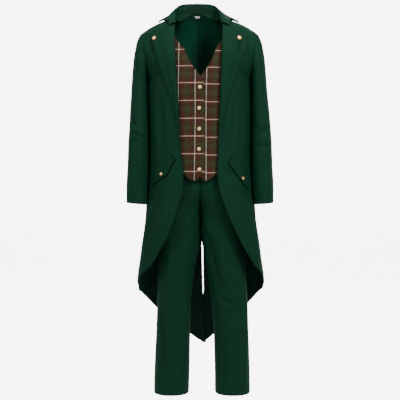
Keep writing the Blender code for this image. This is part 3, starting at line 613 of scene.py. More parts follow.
def run_lengths(grid, axis):
    """Distance along the cloth from the grid's first row or column."""
    steps = np.linalg.norm(np.diff(grid, axis=axis), axis=-1)
    zero = np.zeros_like(np.take(steps, [0], axis=axis))
    return np.cumsum(np.concatenate([zero, steps], axis=axis), axis=axis)


def near_edges(grid, sides, width, left_from=None):
    """1 at the named edges (of 'left right foot head'), falling to 0 a few widths away.

    Below the height LEFT_FROM the left edge doesn't count.
    """
    across, up = run_lengths(grid, 1), run_lengths(grid, 0)
    gone = {"left": across, "right": across[:, -1:] - across, "foot": up, "head": up[-1:] - up}
    near = np.zeros(grid.shape[:2])
    for name in sides.split():
        close = np.exp(-((gone[name] / width) ** 2))
        if name == "left" and left_from is not None:
            close = close * smooth(left_from, left_from + 0.03, grid[..., 2])
        near = np.maximum(near, close)
    return near * smooth(0.004, 0.016, np.minimum(across[:, -1:], up[-1:]))


def seams_turned_down(grid, sides, sign=1, left_from=None):
    fall = near_edges(grid, sides, SEAM_WIDTH, left_from)
    return grid - grid_normals(grid) * (sign * SEAM_DEPTH * fall)[..., None]


def cloth(
    node, grid, wall, material, held, rests_on, slot="green_twill", kind="cloth", flip=False, around=False,
    pattern=None, shadow=None, lined=False,
):
    """A shell through a grid of world points, which stands for its node.

    SHADOW, from 0 to 1 at each point, is painted shade: it tells the material where to darken a seam, an edge
    or a fold's foot.
    """
    name = f"{node}_{kind}"
    index = np.arange(grid[..., 0].size).reshape(grid.shape[:2])
    ring = np.concatenate([grid, grid[:, :1]], axis=1) if around else grid
    if around:
        index = np.concatenate([index, index[:, :1]], axis=1)
    across, up = run_lengths(ring, 1), run_lengths(ring, 0)
    cut = np.stack([across, up], axis=-1) if pattern is None else pattern
    corners = [(0, 0), (0, 1), (1, 1), (1, 0)]
    if flip:
        corners.reverse()
    tall, wide = index.shape[0] - 1, index.shape[1] - 1
    faces = np.stack([index[r : r + tall, c : c + wide] for r, c in corners], axis=-1)
    places = np.stack([cut[r : r + tall, c : c + wide] for r, c in corners], axis=2)
    mesh = bpy.data.meshes.new(name)
    mesh.from_pydata(grid.reshape(-1, 3).tolist(), [], faces.reshape(-1, 4).tolist())
    mesh.uv_layers.new(name="cloth").data.foreach_set("uv", places.reshape(-1).astype("f"))
    if shadow is not None:
        shade = mesh.attributes.new("shadow", "FLOAT", "POINT")
        shade.data.foreach_set("value", np.clip(shadow, 0, 1).reshape(-1).astype("f"))
    mesh.materials.append(material)
    if lined:
        mesh.materials.append(dull_lining)
    mesh.shade_smooth()
    piece = in_scene(name, mesh)
    solid = piece.modifiers.new("wall", "SOLIDIFY")
    solid.thickness = wall
    solid.offset = -1
    solid.material_offset = 1 if lined else 0
    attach(piece, root)
    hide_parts(node)


def side_cloth(
    name, side, grid, wall, material, held, rests_on, sides=ALL_EDGES, dark=None, lines=0.0,
    seam_shade=SEAM_SHADE, **more,
):
    """A panel whose grid is written for the wearer's left, set on its own side.

    Its seams are turned down at SIDES and get painted shade there or, where it is given, at DARK alone; LINES
    adds more painted shade.
    """
    shaped = seams_turned_down(grid, sides)
    seams = near_edges(grid, sides if dark is None else dark, SHADOW_WIDTH)
    cloth(
        sided(name, side), placed(side, shaped), wall, material, held, [sided(rests_on, side)],
        flip=side == RIGHT, shadow=np.maximum(seams * seam_shade, lines), **more,
    )


# %% [markdown]
# ## The green cloth
#
# The coat and trousers are of one dark green twill: matte, with a faint sheen where it turns away.
# A twill has fine diagonal ribs, here 0.9 mm apart. They are a sine wave on the panel's map in
# metres, used for a shallow bump and a slight change of colour. Slow noise keeps a large panel
# from looking painted. The back of the waistcoat is a plainer, smoother lining cloth.

# %% Woven materials
RIB_SPACING, RIB_DEPTH = 0.0009, 0.00012
FINE_SPACING, FINE_DEPTH = 0.0006, 0.00005
CLOTH_SHINE, SHEEN, SHEEN_ROUGHNESS = 0.06, 0.02, 0.45
GREEN_SHEEN, DULL_SHEEN = (0.2, 0.7, 0.45), (0.4, 0.6, 0.5)
GREEN = (0.0014, 0.0200, 0.0092)
GREEN_LIGHT = (0.0022, 0.0270, 0.0128)
LINING_GREEN = (0.0028, 0.0430, 0.0210)
LINING_LIGHT = (0.0040, 0.0520, 0.0250)
DULL_GREEN = (0.0068, 0.0250, 0.0165)
DULL_LIGHT = (0.0085, 0.0310, 0.0205)
SHADOW_GREEN = (0.0003, 0.0040, 0.0020)


def feed(tree, node, socket, value):
    """Gives a node's socket a value, or joins it to another node's output."""
    if isinstance(value, bpy.types.NodeSocket):
        tree.links.new(value, node.inputs[socket])
    else:
        node.inputs[socket].default_value = value


def add_node(tree, kind, settings=None, **sockets):
    """A new node; n0, n1 and so on name sockets by their number."""
    node = tree.nodes.new(kind)
    for key, value in (settings or {}).items():
        setattr(node, key, value)
    for key, value in sockets.items():
        feed(tree, node, int(key[1:]) if key[1:].isdigit() else key, value)
    return node


class Tree:
    """A short way to add and join a material's nodes."""

    def __init__(self, name):
        self.material = bpy.data.materials.new(name)
        self.material.use_nodes = True
        self.shader = self.material.node_tree.nodes["Principled BSDF"]

    def add(self, kind, settings=None, **sockets):
        return add_node(self.material.node_tree, kind, settings, **sockets)

    def shade(self, socket, value):
        """Feeds one socket of the shader."""
        feed(self.material.node_tree, self.shader, socket, value)

    def math(self, operation, first, second=0.0, third=0.0):
        node = self.add("ShaderNodeMath", {"operation": operation}, n0=first, n1=second, n2=third)
        return node.outputs[0]

    def mix(self, share, *colours):
        first, second = ((*colour, 1.0) if isinstance(colour, tuple) else colour for colour in colours)
        return self.add("ShaderNodeMix", {"data_type": "RGBA"}, n0=share, n6=first, n7=second).outputs[2]

    def ramp(self, at, stops):
        """A colour ramp with a few stops: (place, colour)."""
        node = self.add("ShaderNodeValToRGB", n0=at)
        while len(node.color_ramp.elements) < len(stops):
            node.color_ramp.elements.new(0.5)
        for element, (place, colour) in zip(node.color_ramp.elements, stops):
            element.position = place
            element.color = (*colour, 1.0)
        return node.outputs[0]

    def cloth_map(self):
        uv = self.add("ShaderNodeUVMap", {"uv_map": "cloth"})
        split = self.add("ShaderNodeSeparateXYZ", n0=uv.outputs[0])
        return split.outputs[0], split.outputs[1]

    def noise(self, scale, detail=3.0):
        where = self.add("ShaderNodeTexCoord").outputs["Object"]
        return self.add("ShaderNodeTexNoise", Vector=where, Scale=scale, Detail=detail).outputs[0]

    def waves(self, at, spacing):
        """A sine wave with this distance between its crests."""
        return self.math("SINE", self.math("MULTIPLY", at, 2 * math.pi / spacing))

    def on_piece(self, name):
        """A number from 0 to 1 that the piece carries at each of its points."""
        return self.add("ShaderNodeAttribute", {"attribute_name": name}).outputs["Fac"]

    def bump(self, height, strength, distance):
        node = self.add("ShaderNodeBump", Height=height, Strength=strength, Distance=distance)
        self.shade("Normal", node.outputs[0])


def darkened(tree, colour, shadow_colour, depth):
    """A colour with painted shade mixed in at seams, edges and the feet of folds, where the piece's own map
    of shadows says so.
    """
    return tree.mix(tree.math("MULTIPLY", tree.on_piece("shadow"), depth), colour, shadow_colour)


def set_cloth(tree, roughness, sheen_tint):
    tree.shade("Roughness", roughness)
    tree.shade("Specular IOR Level", CLOTH_SHINE)
    tree.shade("Sheen Weight", SHEEN)
    tree.shade("Sheen Roughness", SHEEN_ROUGHNESS)
    tree.shade("Sheen Tint", (*sheen_tint, 1.0))


def twill(name, dark, light, spacing, depth, roughness, sheen_tint):
    """Diagonal ribs over slow changes of tone."""
    tree = Tree(name)
    across, up = tree.cloth_map()
    ribs = tree.waves(tree.math("ADD", across, up), spacing * math.sqrt(2))
    rib = tree.math("MULTIPLY_ADD", ribs, 0.5, 0.5)
    tone = tree.math("MULTIPLY_ADD", tree.noise(14.0), 0.8, tree.math("MULTIPLY", rib, 0.35))
    woven = tree.mix(tree.math("SUBTRACT", tone, 0.15), dark, light)
    # Painted shade: the piece's shadow map darkens the twill towards SHADOW_GREEN at seams, edges and folds.
    tree.shade("Base Color", darkened(tree, woven, SHADOW_GREEN, 0.85))
    slub = tree.noise(900.0, 1.0)
    relief = tree.math("ADD", tree.math("MULTIPLY", rib, 0.7), tree.math("MULTIPLY", slub, 0.5))
    tree.bump(relief, 0.55, depth)
    set_cloth(tree, roughness, sheen_tint)
    return tree.material


green_twill = twill("green_twill", GREEN, GREEN_LIGHT, RIB_SPACING, RIB_DEPTH, 0.68, GREEN_SHEEN)
dull_lining = twill("dull_lining", DULL_GREEN, DULL_LIGHT, FINE_SPACING, FINE_DEPTH, 0.60, DULL_SHEEN)
lining = twill("green_lining", LINING_GREEN, LINING_LIGHT, FINE_SPACING, FINE_DEPTH, 0.55, GREEN_SHEEN)
print("green cloth ready")

# %% [markdown]
# ## The plaid
#
# The waistcoat's fronts are a brown-red plaid: a green band in the middle of each check with a
# dark red one on both sides of it, thin white lines between the checks, and a near-black line
# beside each upright white one. A woven plaid is two sets of stripes, one in the warp and one in
# the weft, that change places every other thread. So the material makes both sets of stripes from
# one list of bands, and a fine twill mask chooses between them.

# %% Plaid material
CHECK_WIDE = 0.0620
CHECK_TALL = 0.0648
THREAD_PAIR = 0.0014
BROWN, RED, PLAID_GREEN = (0.026, 0.014, 0.009), (0.054, 0.011, 0.008), (0.026, 0.033, 0.012)
WHITE, BLACK = (0.50, 0.39, 0.31), (0.004, 0.004, 0.003)
FADED, PLAID_SHEEN = (0.05, 0.045, 0.03), (0.8, 0.7, 0.6)
UPRIGHT_BANDS = (
    (0.000, WHITE), (0.024, WHITE), (0.030, BLACK), (0.062, BLACK), (0.085, BROWN), (0.150, BROWN),
    (0.200, RED), (0.300, RED), (0.345, BROWN), (0.400, PLAID_GREEN), (0.600, PLAID_GREEN),
    (0.655, BROWN), (0.700, RED), (0.800, RED), (0.850, BROWN), (0.915, BROWN), (0.938, BLACK),
    (0.970, BLACK), (0.976, WHITE),
)
LEVEL_BANDS = (
    (0.000, WHITE), (0.024, WHITE), (0.032, RED), (0.150, RED), (0.220, BROWN), (0.340, BROWN),
    (0.410, PLAID_GREEN), (0.600, PLAID_GREEN), (0.670, BROWN), (0.780, BROWN), (0.850, RED),
    (0.968, RED), (0.976, WHITE),
)


def plaid():
    tree = Tree("plaid")
    across, up = tree.cloth_map()
    upright = tree.ramp(tree.math("FRACT", tree.math("DIVIDE", across, CHECK_WIDE)), UPRIGHT_BANDS)
    level = tree.ramp(tree.math("FRACT", tree.math("DIVIDE", up, CHECK_TALL)), LEVEL_BANDS)
    threads = tree.math("FRACT", tree.math("DIVIDE", tree.math("ADD", across, up), THREAD_PAIR))
    over = tree.math("GREATER_THAN", threads, 0.5)
    woven = tree.mix(over, upright, level)
    faded = tree.mix(tree.math("MULTIPLY", tree.noise(60.0), 0.18), woven, FADED)
    # Painted shade: the piece's shadow map darkens the plaid towards BLACK at seams and edges.
    tree.shade("Base Color", darkened(tree, faded, BLACK, 0.7))
    tree.bump(tree.math("ADD", tree.waves(threads, 1), tree.noise(700.0, 1.0)), 0.5, RIB_DEPTH)
    set_cloth(tree, 0.80, PLAID_SHEEN)
    return tree.material


plaid_cloth = plaid()
print("checks of", CHECK_WIDE, "by", CHECK_TALL, "m")

# %% [markdown]
# ## The backs with their tails
#
# A centre-back seam joins the two backs down to the waist. Below it the vent opens, and the left
# tail laps over the right one. The hem is a curve that depends only on how far it is from the
# middle, so each column of the grid looks for its own foot.

# %% Backs
TAIL_TIP, TAIL_SWEEP, TAIL_CURVE, TIP_DROP, TIP_WIDTH = 0.183, 1.87, 1.5, 0.016, 0.050
LAP_FROM, LAP_TO, LAP_WIDTH, LAP_RISE = 0.450, 0.360, 0.070, 0.0065
BACK_COUNTS = (150, 60, 34, 26)
BACK_WIDTH, NECK_CLOSER = 0.2, 1.6
VENT = table(
    "height middle gap",
    (0.170, 0.0155, -0.0180),
    (0.330, 0.0125, -0.0070),
    (0.388, 0.0122, 0.0042),
    (0.600, 0.0080, 0.0050),
    (0.730, 0.0030, 0.0030),
    (0.800, 0.0000, 0.0000),
    (1.500, 0.0000, 0.0000),
)


def tail_hem(across):
    tip = TIP_DROP * np.maximum(0, 1 - across / TIP_WIDTH)
    return TAIL_TIP + TAIL_SWEEP * np.maximum(0, across) ** TAIL_CURVE - tip


def neck_corner(shape):
    return 180 - turn_to(shape["neck"], RINGS["rows"][-1, 1] - shape["inset"][0])


def back_turns(shape, level, side_share, neck_spread):
    """Turns from the side seam to the middle of the back, with one at the corner of the neck."""
    start = np.where(level <= shape["pit"], side_turn(shape, level), 180 - side_turn(shape, level))
    corner = neck_corner(shape)
    spread = 180 - (180 - corner) * np.cos(np.pi / 2 * neck_spread)
    return np.where(side_share < 1, start + (corner - start) * side_share, spread)


def neck_share(shape, turn):
    """How far up to the shoulder line a column of the back runs: less behind the neck."""
    corner = neck_corner(shape)
    inward = np.clip((180 - turn) / (180 - corner), 0, 1)
    short = 1 - (1 - BACK_NECK_SHARE) * np.sqrt(1 - inward**2)
    return np.where(turn <= corner, 1.0, short)


def back_panel(shape, side, hem, low_rows, high_rows, side_columns, neck_columns):
    """Turns and levels of half a back, from its hem to the neck, with so many rows and columns."""
    near = np.array(SEAM_STEPS) / BACK_WIDTH
    outer = shares(side_columns + 1, BACK_WIDTH, high=False)
    middle = np.linspace(0, 1, neck_columns + 1)[1:-1]
    middle = np.concatenate([middle[middle < 1 - near[-1]], 1 - near[::-1] / NECK_CLOSER, [1]])
    side_share = np.concatenate([outer, np.ones(len(middle))])
    neck_spread = np.concatenate([np.zeros(len(outer)), middle])
    rise = shares(low_rows, 1.0)[:, None]
    level = np.full((len(rise), len(side_share)), shape["pit"])
    for _ in range(HEM_ROUNDS):
        turn = back_turns(shape, level, side_share, neck_spread)
        bottom = hem(body(shape, side, turn, level)[..., 0])
        level = bottom + (shape["pit"] - bottom) * rise
    top_turn = back_turns(shape, np.full((1, 1), shape["crown"]), side_share, neck_spread)
    upper = level_up(shape, towards_shoulder(high_rows)[:, None] * neck_share(shape, top_turn))
    level = np.concatenate([level, upper])
    return back_turns(shape, level, side_share, neck_spread), level


def opened_vent(side, grid):
    """The middle edge moved to the vent's edge, and the tail on top lifted clear of the other."""
    vent = read(VENT, grid[..., 2])
    nearness = np.maximum(0, 1 - grid[..., 0] / grid[:, :1, 0]) ** 2
    grid[..., 0] += (side * vent["middle"] + vent["gap"] / 2) * nearness
    if side == LEFT:
        lap = 1 - smooth(LAP_TO, LAP_FROM, grid[..., 2])
        grid[..., 1] += LAP_RISE * lap * (1 - smooth(0.0, LAP_WIDTH, grid[..., 0]))
    return grid


def coat_back(side):
    turn, level = back_panel(COAT, side, tail_hem, *BACK_COUNTS)
    grid, shade = coat_face(side, turn, level)
    grid = opened_vent(side, grid)
    side_cloth(
        "coat_back", side, grid, COAT_WALL, green_twill, "hung", "waistcoat_back", lines=shade, lined=True
    )
    return grid


coat_backs = {each: coat_back(each) for each in SIDES}

# %% [markdown]
# ## The sleeves
#
# A sleeve is a tube from the armhole to the open cuff. It hangs a little forward, as a relaxed arm
# does, and wrinkles at the elbow. Its creases are told by where they lie round the tube (0 is the
# inner side, 0.25 the front, 0.5 the outer side, 0.75 the back) and along it (0 at the armhole,
# 8 at the cuff).

# %% Sleeves
SLEEVE = table(
    "along inner inner_height outer outer_height half_depth forward",
    (0, 0.1925, 1.182, 0.2415, 1.322, 0.0730, 0.000),
    (1, 0.1940, 1.160, 0.2485, 1.284, 0.0700, 0.001),
    (2, 0.1945, 1.128, 0.2530, 1.226, 0.0660, 0.003),
    (3, 0.1945, 1.084, 0.2590, 1.150, 0.0630, 0.007),
    (4, 0.1940, 1.025, 0.2640, 1.065, 0.0610, 0.013),
    (5, 0.1940, 0.945, 0.2700, 0.965, 0.0590, 0.020),
    (6, 0.1965, 0.855, 0.2740, 0.865, 0.0550, 0.027),
    (7, 0.2000, 0.785, 0.2762, 0.790, 0.0510, 0.033),
    (8, 0.2028, 0.731, 0.2762, 0.737, 0.0480, 0.037),
)
ARMHOLE_LAP, SLEEVE_TOUCH, HEAD_PUFF = 0.0015, 0.0034, 0.0030
CUFF_IN = {LEFT: 0.0, RIGHT: 0.0055}
SLEEVE_COLUMNS, SLEEVE_ROWS, HEAD_ROWS = 72, 190, 10
CUFF_STEP, SLEEVE_SEAM_WIDTH, INNER_SIDE_WIDTH = 0.055, 0.003, 0.055
SLEEVE_CREASES = {
    # round and along at the start and at the end, bow, half width, rise
    LEFT: (
        (0.14, 4.62, 0.43, 4.36, 0.05, 0.0085, -0.0042),
        (0.20, 4.86, 0.44, 4.68, -0.04, 0.0080, 0.0030),
        (0.14, 5.02, 0.46, 5.10, 0.05, 0.0085, -0.0034),
        (0.08, 4.10, 0.30, 4.42, 0.04, 0.0100, -0.0024),
        (0.32, 0.60, 0.40, 2.80, 0.03, 0.0120, 0.0026),
        (0.24, 0.30, 0.30, 2.10, -0.02, 0.0110, -0.0026),
        (0.40, 5.50, 0.34, 7.50, 0.02, 0.0120, 0.0024),
        (0.12, 5.70, 0.18, 7.60, 0.02, 0.0110, -0.0022),
        (0.05, 0.70, 0.20, 1.90, 0.05, 0.0100, -0.0026),
        (0.66, 4.20, 0.86, 4.60, 0.05, 0.0100, -0.0030),
        (0.60, 4.80, 0.90, 4.70, -0.05, 0.0095, 0.0024),
        (0.70, 0.80, 0.66, 3.00, 0.02, 0.0130, -0.0026),
        (0.80, 5.40, 0.78, 7.30, 0.02, 0.0130, 0.0022),
    ),
    RIGHT: (
        (0.18, 4.30, 0.48, 4.16, 0.06, 0.0090, -0.0030),
        (0.14, 4.74, 0.42, 4.56, -0.05, 0.0085, -0.0038),
        (0.24, 4.54, 0.46, 4.36, -0.04, 0.0080, 0.0024),
        (0.10, 5.00, 0.36, 4.88, 0.04, 0.0090, -0.0026),
        (0.34, 0.50, 0.42, 3.10, 0.02, 0.0130, 0.0028),
        (0.26, 0.40, 0.31, 2.40, -0.02, 0.0110, -0.0026),
        (0.42, 5.30, 0.38, 7.60, 0.02, 0.0120, 0.0022),
        (0.14, 5.60, 0.20, 7.40, -0.02, 0.0110, -0.0022),
        (0.06, 0.80, 0.21, 2.10, 0.05, 0.0100, -0.0024),
        (0.66, 4.40, 0.88, 4.20, 0.05, 0.0100, -0.0030),
        (0.66, 5.00, 0.90, 4.90, -0.05, 0.0100, 0.0022),
        (0.72, 0.70, 0.68, 3.20, 0.02, 0.0130, -0.0024),
    ),
}


def armhole(side, around):
    share = (1 - np.cos(2 * np.pi * around)) / 2
    level = level_up(COAT, share)
    turn = np.where(share > 1e-9, side_turn(COAT, np.maximum(level, COAT["pit"] + 1e-6)), SIDE_TURN)
    return body(COAT, side, np.where(around < 0.5, turn, 180 - turn), level)


def tube(around, along):
    """Points of the sleeve's plain form."""
    ring = read(SLEEVE, along)
    reach = np.cos(2 * np.pi * around)
    inner = ring["inner"] - SLEEVE_TOUCH * smooth(0.0, 1.0, along) * (1 - smooth(7.0, 7.9, along))
    across = (inner + ring["outer"]) / 2 + (inner - ring["outer"]) / 2 * reach
    middle = (ring["inner_height"] + ring["outer_height"]) / 2
    height = middle + (ring["inner_height"] - ring["outer_height"]) / 2 * reach
    forward = -ring["forward"] - ring["half_depth"] * np.sin(2 * np.pi * around)
    return np.stack([across, forward, height], axis=-1)


def coat_sleeve(side):
    around = np.arange(SLEEVE_COLUMNS) / SLEEVE_COLUMNS
    ends = 8 - np.array(SEAM_STEPS) / CUFF_STEP
    along = np.unique(np.concatenate([np.linspace(0, 8, SLEEVE_ROWS), ends]))
    lower = tube(around[None, :], along[:, None])
    inwards = 0.5 + 0.5 * np.cos(2 * np.pi * around)
    lower[..., 0] -= CUFF_IN[side] * (smooth(6.8, 8.0, along)[:, None] * inwards)
    top = armhole(side, around) - np.array([ARMHOLE_LAP, 0, 0])
    blend = (np.arange(HEAD_ROWS) / HEAD_ROWS)[:, None, None]
    puff = np.array([HEAD_PUFF, 0, 0]) * np.sin(np.pi * blend) * (1 - inwards)[:, None]
    head = top[None] * (1 - blend) + lower[:1] * blend + puff
    grid = np.concatenate([head, lower])
    creases = laid(SLEEVE_CREASES[side], lambda places: tube(places[:, 0], places[:, 1]))
    ring = np.concatenate([grid[:, -1:], grid, grid[:, :1]], axis=1)
    normal = -grid_normals(ring)[:, 1:-1]
    free = smooth(0.0, 0.03, run_lengths(grid, 0))
    free = free * smooth(0.0, 0.02, run_lengths(grid[::-1], 0)[::-1])
    rise, shade = creased(grid, creases, SLEEVE_STRENGTH)
    shade = shade * free
    grid = grid + normal * ((rise + unevenness(grid)) * free)[..., None]
    up = run_lengths(grid, 0)
    cuff, head_seam = (np.exp(-((gone / SLEEVE_SEAM_WIDTH) ** 2)) for gone in (up[-1:] - up, up))
    grid = grid - normal * (SEAM_DEPTH * (cuff + head_seam))[..., None]
    # Painted shade down the sleeve's inner side, where it hangs close to the body.
    inner_side = np.exp(-((np.minimum(around, 1 - around) / INNER_SIDE_WIDTH) ** 2))[None, :]
    shade_by_body = smooth(0.02, 0.08, up) * smooth(0.0, 0.05, up[-1:] - up) * inner_side
    # Painted shade at the cuff, the head seam, the inner side and the feet of creases.
    dark = (cuff * SEAM_SHADE, head_seam * HIGH_SEAM_SHADE, shade_by_body, shade)
    cloth(
        sided("coat_sleeve", side), placed(side, grid), COAT_WALL, green_twill, "hung",
        [sided("coat_front", side), sided("coat_back", side)], flip=side == LEFT, around=True,
        shadow=np.maximum.reduce(dark),
    )
    return grid, normal


coat_sleeves = {each: coat_sleeve(each) for each in SIDES}

# %% [markdown]
# ## The collar
#
# The collar is one strip that stands up at the neck seam, folds over and falls on the shoulders.
# A few stations round the neck give its fold, the middle of its fall and its outer edge, and a
# smooth curve joins them both ways.

# %% Collar
COLLAR_STATIONS, COLLAR_STEPS, COLLAR_WAVINESS = 70, 84, 0.0007
COLLAR_FOOT_CORNER, COLLAR_FRONT_LEVEL, COLLAR_INSIDE, COLLAR_WALL = 0.62, 1.413, 0.0034, 0.0032
STAND_LINES, STAND_LINE_WIDTH, EDGE_TURN = (1.4700, 1.4795, 1.4890), 0.0024, 0.0056
# Strengths of the painted shade on the collar: over the stand, at its foot and in its corners; and of the
# dark lines along the stand.
STAND_SHADE, STAND_LINE_SHADE, FOOT_SHADE, CORNER_SHADE = 0.55, 0.95, 0.30, 0.75
CORNER_ASIDE, CORNER_HEIGHT, CORNER_WIDTH, CORNER_TALL = 0.078, 1.470, 0.010, 0.012
STAND_FROM, STAND_REACH = (1.458, 1.462), (0.030, 0.042)
BELOW_FOLD, AFTER_FOLD, AFTER_RISE, FALL_ROUND, FALL_RISE = 0.88, 0.22, 0.0015, 0.60, 0.0020
COLLAR = table(
    "along fold_x fold_y fold_z middle_x middle_y middle_z edge_x edge_y edge_z",
    (0.00, 0.0000, 0.064, 1.5035, 0.000, 0.087, 1.470, 0.000, 0.101, 1.428),
    (0.22, 0.0375, 0.060, 1.5020, 0.046, 0.083, 1.469, 0.058, 0.096, 1.427),
    (0.42, 0.0625, 0.045, 1.4945, 0.080, 0.065, 1.465, 0.104, 0.080, 1.4400),
    (0.52, 0.0735, 0.032, 1.4865, 0.096, 0.049, 1.463, 0.133, 0.060, 1.4420),
    (0.60, 0.0800, 0.018, 1.4760, 0.107, 0.030, 1.456, 0.153, 0.038, 1.4315),
    (0.75, 0.0875, -0.012, 1.4540, 0.110, -0.004, 1.447, 0.150, 0.004, 1.4270),
    (0.88, 0.0890, -0.042, 1.4300, 0.108, -0.036, 1.432, 0.134, -0.018, 1.4275),
    (1.00, 0.0885, -0.0735, 1.4070, 0.112, -0.0820, 1.3965, 0.119, -0.037, 1.4265),
)


def rounded(points, at):
    """A smooth curve through points (first axis), read at places counted in points."""
    last = len(points) - 1
    i = np.clip(np.floor(at).astype(int), 0, last - 1)
    t = (at - i).reshape((-1,) + (1,) * (points.ndim - 1))
    padded = np.concatenate([2 * points[:1] - points[1:2], points, 2 * points[-1:] - points[-2:-1]])
    a, b, c, d = (padded[i + k] for k in range(4))
    bend = (2 * a - 5 * b + 4 * c - d) * t + (3 * b - a - 3 * c + d) * t * t
    return b + 0.5 * t * ((c - a) + bend)


def collar_foot(side, along):
    """The neck seam from the middle of the back round to the coat's front edge."""
    turn = 180 + (neck_corner(COAT) - 180) * np.minimum(along / COLLAR_FOOT_CORNER, 1)
    behind = body(COAT, side, turn, level_up(COAT, neck_share(COAT, turn)))
    share = np.clip((along - COLLAR_FOOT_CORNER) / (1 - COLLAR_FOOT_CORNER), 0, 1)
    level = COAT["crown"] + (COLLAR_FRONT_LEVEL - COAT["crown"]) * share
    front = body(COAT, side, edge_turn(COAT, COAT_EDGE, side, level), level)
    foot = np.where((along < COLLAR_FOOT_CORNER)[..., None], behind, front)
    inwards = np.stack([-foot[..., 0], -0.02 - foot[..., 1], 0 * along], axis=-1)
    return foot + inwards / np.linalg.norm(inwards, axis=-1, keepdims=True) * COLLAR_INSIDE


def collar_rows(side, along):
    """Points from the neck seam over the fold to the fall's edge, at each station."""
    station = read(COLLAR, along)
    parts = ("fold", "middle", "edge")
    fold, middle, edge = (np.stack([station[f"{part}_{axis}"] for axis in "xyz"], axis=-1) for part in parts)
    foot = collar_foot(side, along)
    up = np.array([0, 0, 1.0])

    def between(first, second, share):
        return first + (second - first) * share

    knots = [foot, between(foot, fold, 0.5), between(foot, fold, BELOW_FOLD), fold]
    knots += [between(fold, middle, AFTER_FOLD) + up * AFTER_RISE]
    knots += [between(fold, middle, FALL_ROUND) + up * FALL_RISE, middle, between(middle, edge, 0.5), edge]
    turned = (smooth(0.40, 0.47, along) * (1 - smooth(0.78, 0.86, along)))[..., None]
    knots += [edge - up * EDGE_TURN * turned + (edge - middle) * 0.02]
    return np.stack(knots)


def collar_shade(grid):
    """Painted shade at the edges and on the stand's face, with more at its foot and its corners; dark lines
    along the stand.
    """
    height, aside = grid[..., 2] + NECK_HEIGHT, np.abs(grid[..., 0] + NECK_LEAN)
    from_foot = run_lengths(grid, 1)
    on_stand = 1 - smooth(*STAND_REACH, from_foot)
    lines = sum(np.exp(-(((height - line) / STAND_LINE_WIDTH) ** 2)) for line in STAND_LINES)
    from_corner = ((aside - CORNER_ASIDE) / CORNER_WIDTH) ** 2 + ((height - CORNER_HEIGHT) / CORNER_TALL) ** 2
    inside = (
        STAND_LINE_SHADE * lines,
        CORNER_SHADE * np.exp(-from_corner),
        STAND_SHADE * smooth(*STAND_FROM, height),
    )
    foot_line = FOOT_SHADE * np.exp(-((from_foot / SHADOW_WIDTH) ** 2))
    edges = near_edges(grid, "right foot head", SHADOW_WIDTH)
    return np.maximum.reduce((edges, on_stand * np.maximum.reduce(inside), foot_line))


def coat_collar():
    along = np.linspace(0, 1, COLLAR_STATIONS + 1)
    halves = []
    for side in (RIGHT, LEFT):
        knots = collar_rows(side, along)
        fine = rounded(knots, np.linspace(0, len(knots) - 1, COLLAR_STEPS)).transpose(1, 0, 2)
        halves.append(placed(side, fine))
    grid = np.concatenate([halves[0][:0:-1], halves[1]])
    share = np.linspace(0, 1, COLLAR_STEPS)[None, :]
    soft = COLLAR_WAVINESS * np.sin(41 * grid[..., 0] + 30 * grid[..., 1]) * smooth(0.45, 0.7, share)
    wavy = grid + grid_normals(grid) * soft[..., None]
    cloth(
        "coat_collar", wavy, COLLAR_WALL, green_twill, "folded", ["coat_back_left", "coat_back_right"],
        flip=True, shadow=collar_shade(wavy),
    )
    return wavy


collar_grid = coat_collar()

# %% [markdown]
# ## Lapels and pocket flaps
#
# A lapel is the front turned back on itself. It lies on the front's own face, a little out, and
# rolls at its inner edge, so it takes the front's creases with it. The pocket flaps are laid on
# the same face, from a slanted seam down to a point with a small button.

# %% Lapels
LAPEL_OUT, LAPEL_ROLL, LAPEL_ROLL_WIDTH, LAPEL_WALL, LAPEL_INSET = 0.0034, 0.0040, 0.625, 0.0018, 0.0006
LAPEL_ROWS, LAPEL_COLUMNS, LAPEL_LENGTH, LAPEL_WIDTH = 110, 30, 0.446, 0.09
EDGE_LIFT, EDGE_LIFT_WIDTH = 0.0008, 0.008
LAPEL = table(
    "roll outer outer_height",
    (0.952, 0.0750, 0.952),
    (1.006, 0.0800, 1.005),
    (1.079, 0.0936, 1.078),
    (1.134, 0.1066, 1.133),
    (1.188, 0.1267, 1.187),
    (1.250, 0.1480, 1.247),
    (1.310, 0.1680, 1.305),
    (1.355, 0.1790, 1.343),
    (1.398, 0.1770, 1.362),
)


LAPEL_FOOT, LAPEL_TOP = LAPEL["rows"][0, 0], LAPEL["rows"][-1, 0]


def coat_lapel(side):
    roll = LAPEL_FOOT + (LAPEL_TOP - LAPEL_FOOT) * shares(LAPEL_ROWS, LAPEL_LENGTH)[:, None]
    lapel = read(LAPEL, roll)
    inner = read(COAT_EDGE, roll)[SIDE_NAMES[side]] + LAPEL_INSET
    share = shares(LAPEL_COLUMNS, LAPEL_WIDTH)[None, :]
    across = inner + (lapel["outer"] - inner) * share
    height = roll + (lapel["outer_height"] - roll) * share
    level = level_of(COAT, across, height)
    rolled = np.sin(np.pi * np.minimum(1, share / LAPEL_ROLL_WIDTH)) * smooth(0.95, 1.1, roll)
    lifted = np.exp(-(((1 - share) * (lapel["outer"] - inner) / EDGE_LIFT_WIDTH) ** 2))
    out = LAPEL_OUT + LAPEL_ROLL * rolled + EDGE_LIFT * lifted * smooth(0.97, 1.06, roll)
    grid, shade = coat_face(side, turn_at(COAT, across, level), level, out)
    side_cloth(
        "coat_lapel", side, grid, LAPEL_WALL, green_twill, "folded", "coat_front",
        sides="left right head", lines=shade, seam_shade=HIGH_SEAM_SHADE,
    )
    return grid


lapels = {each: coat_lapel(each) for each in SIDES}

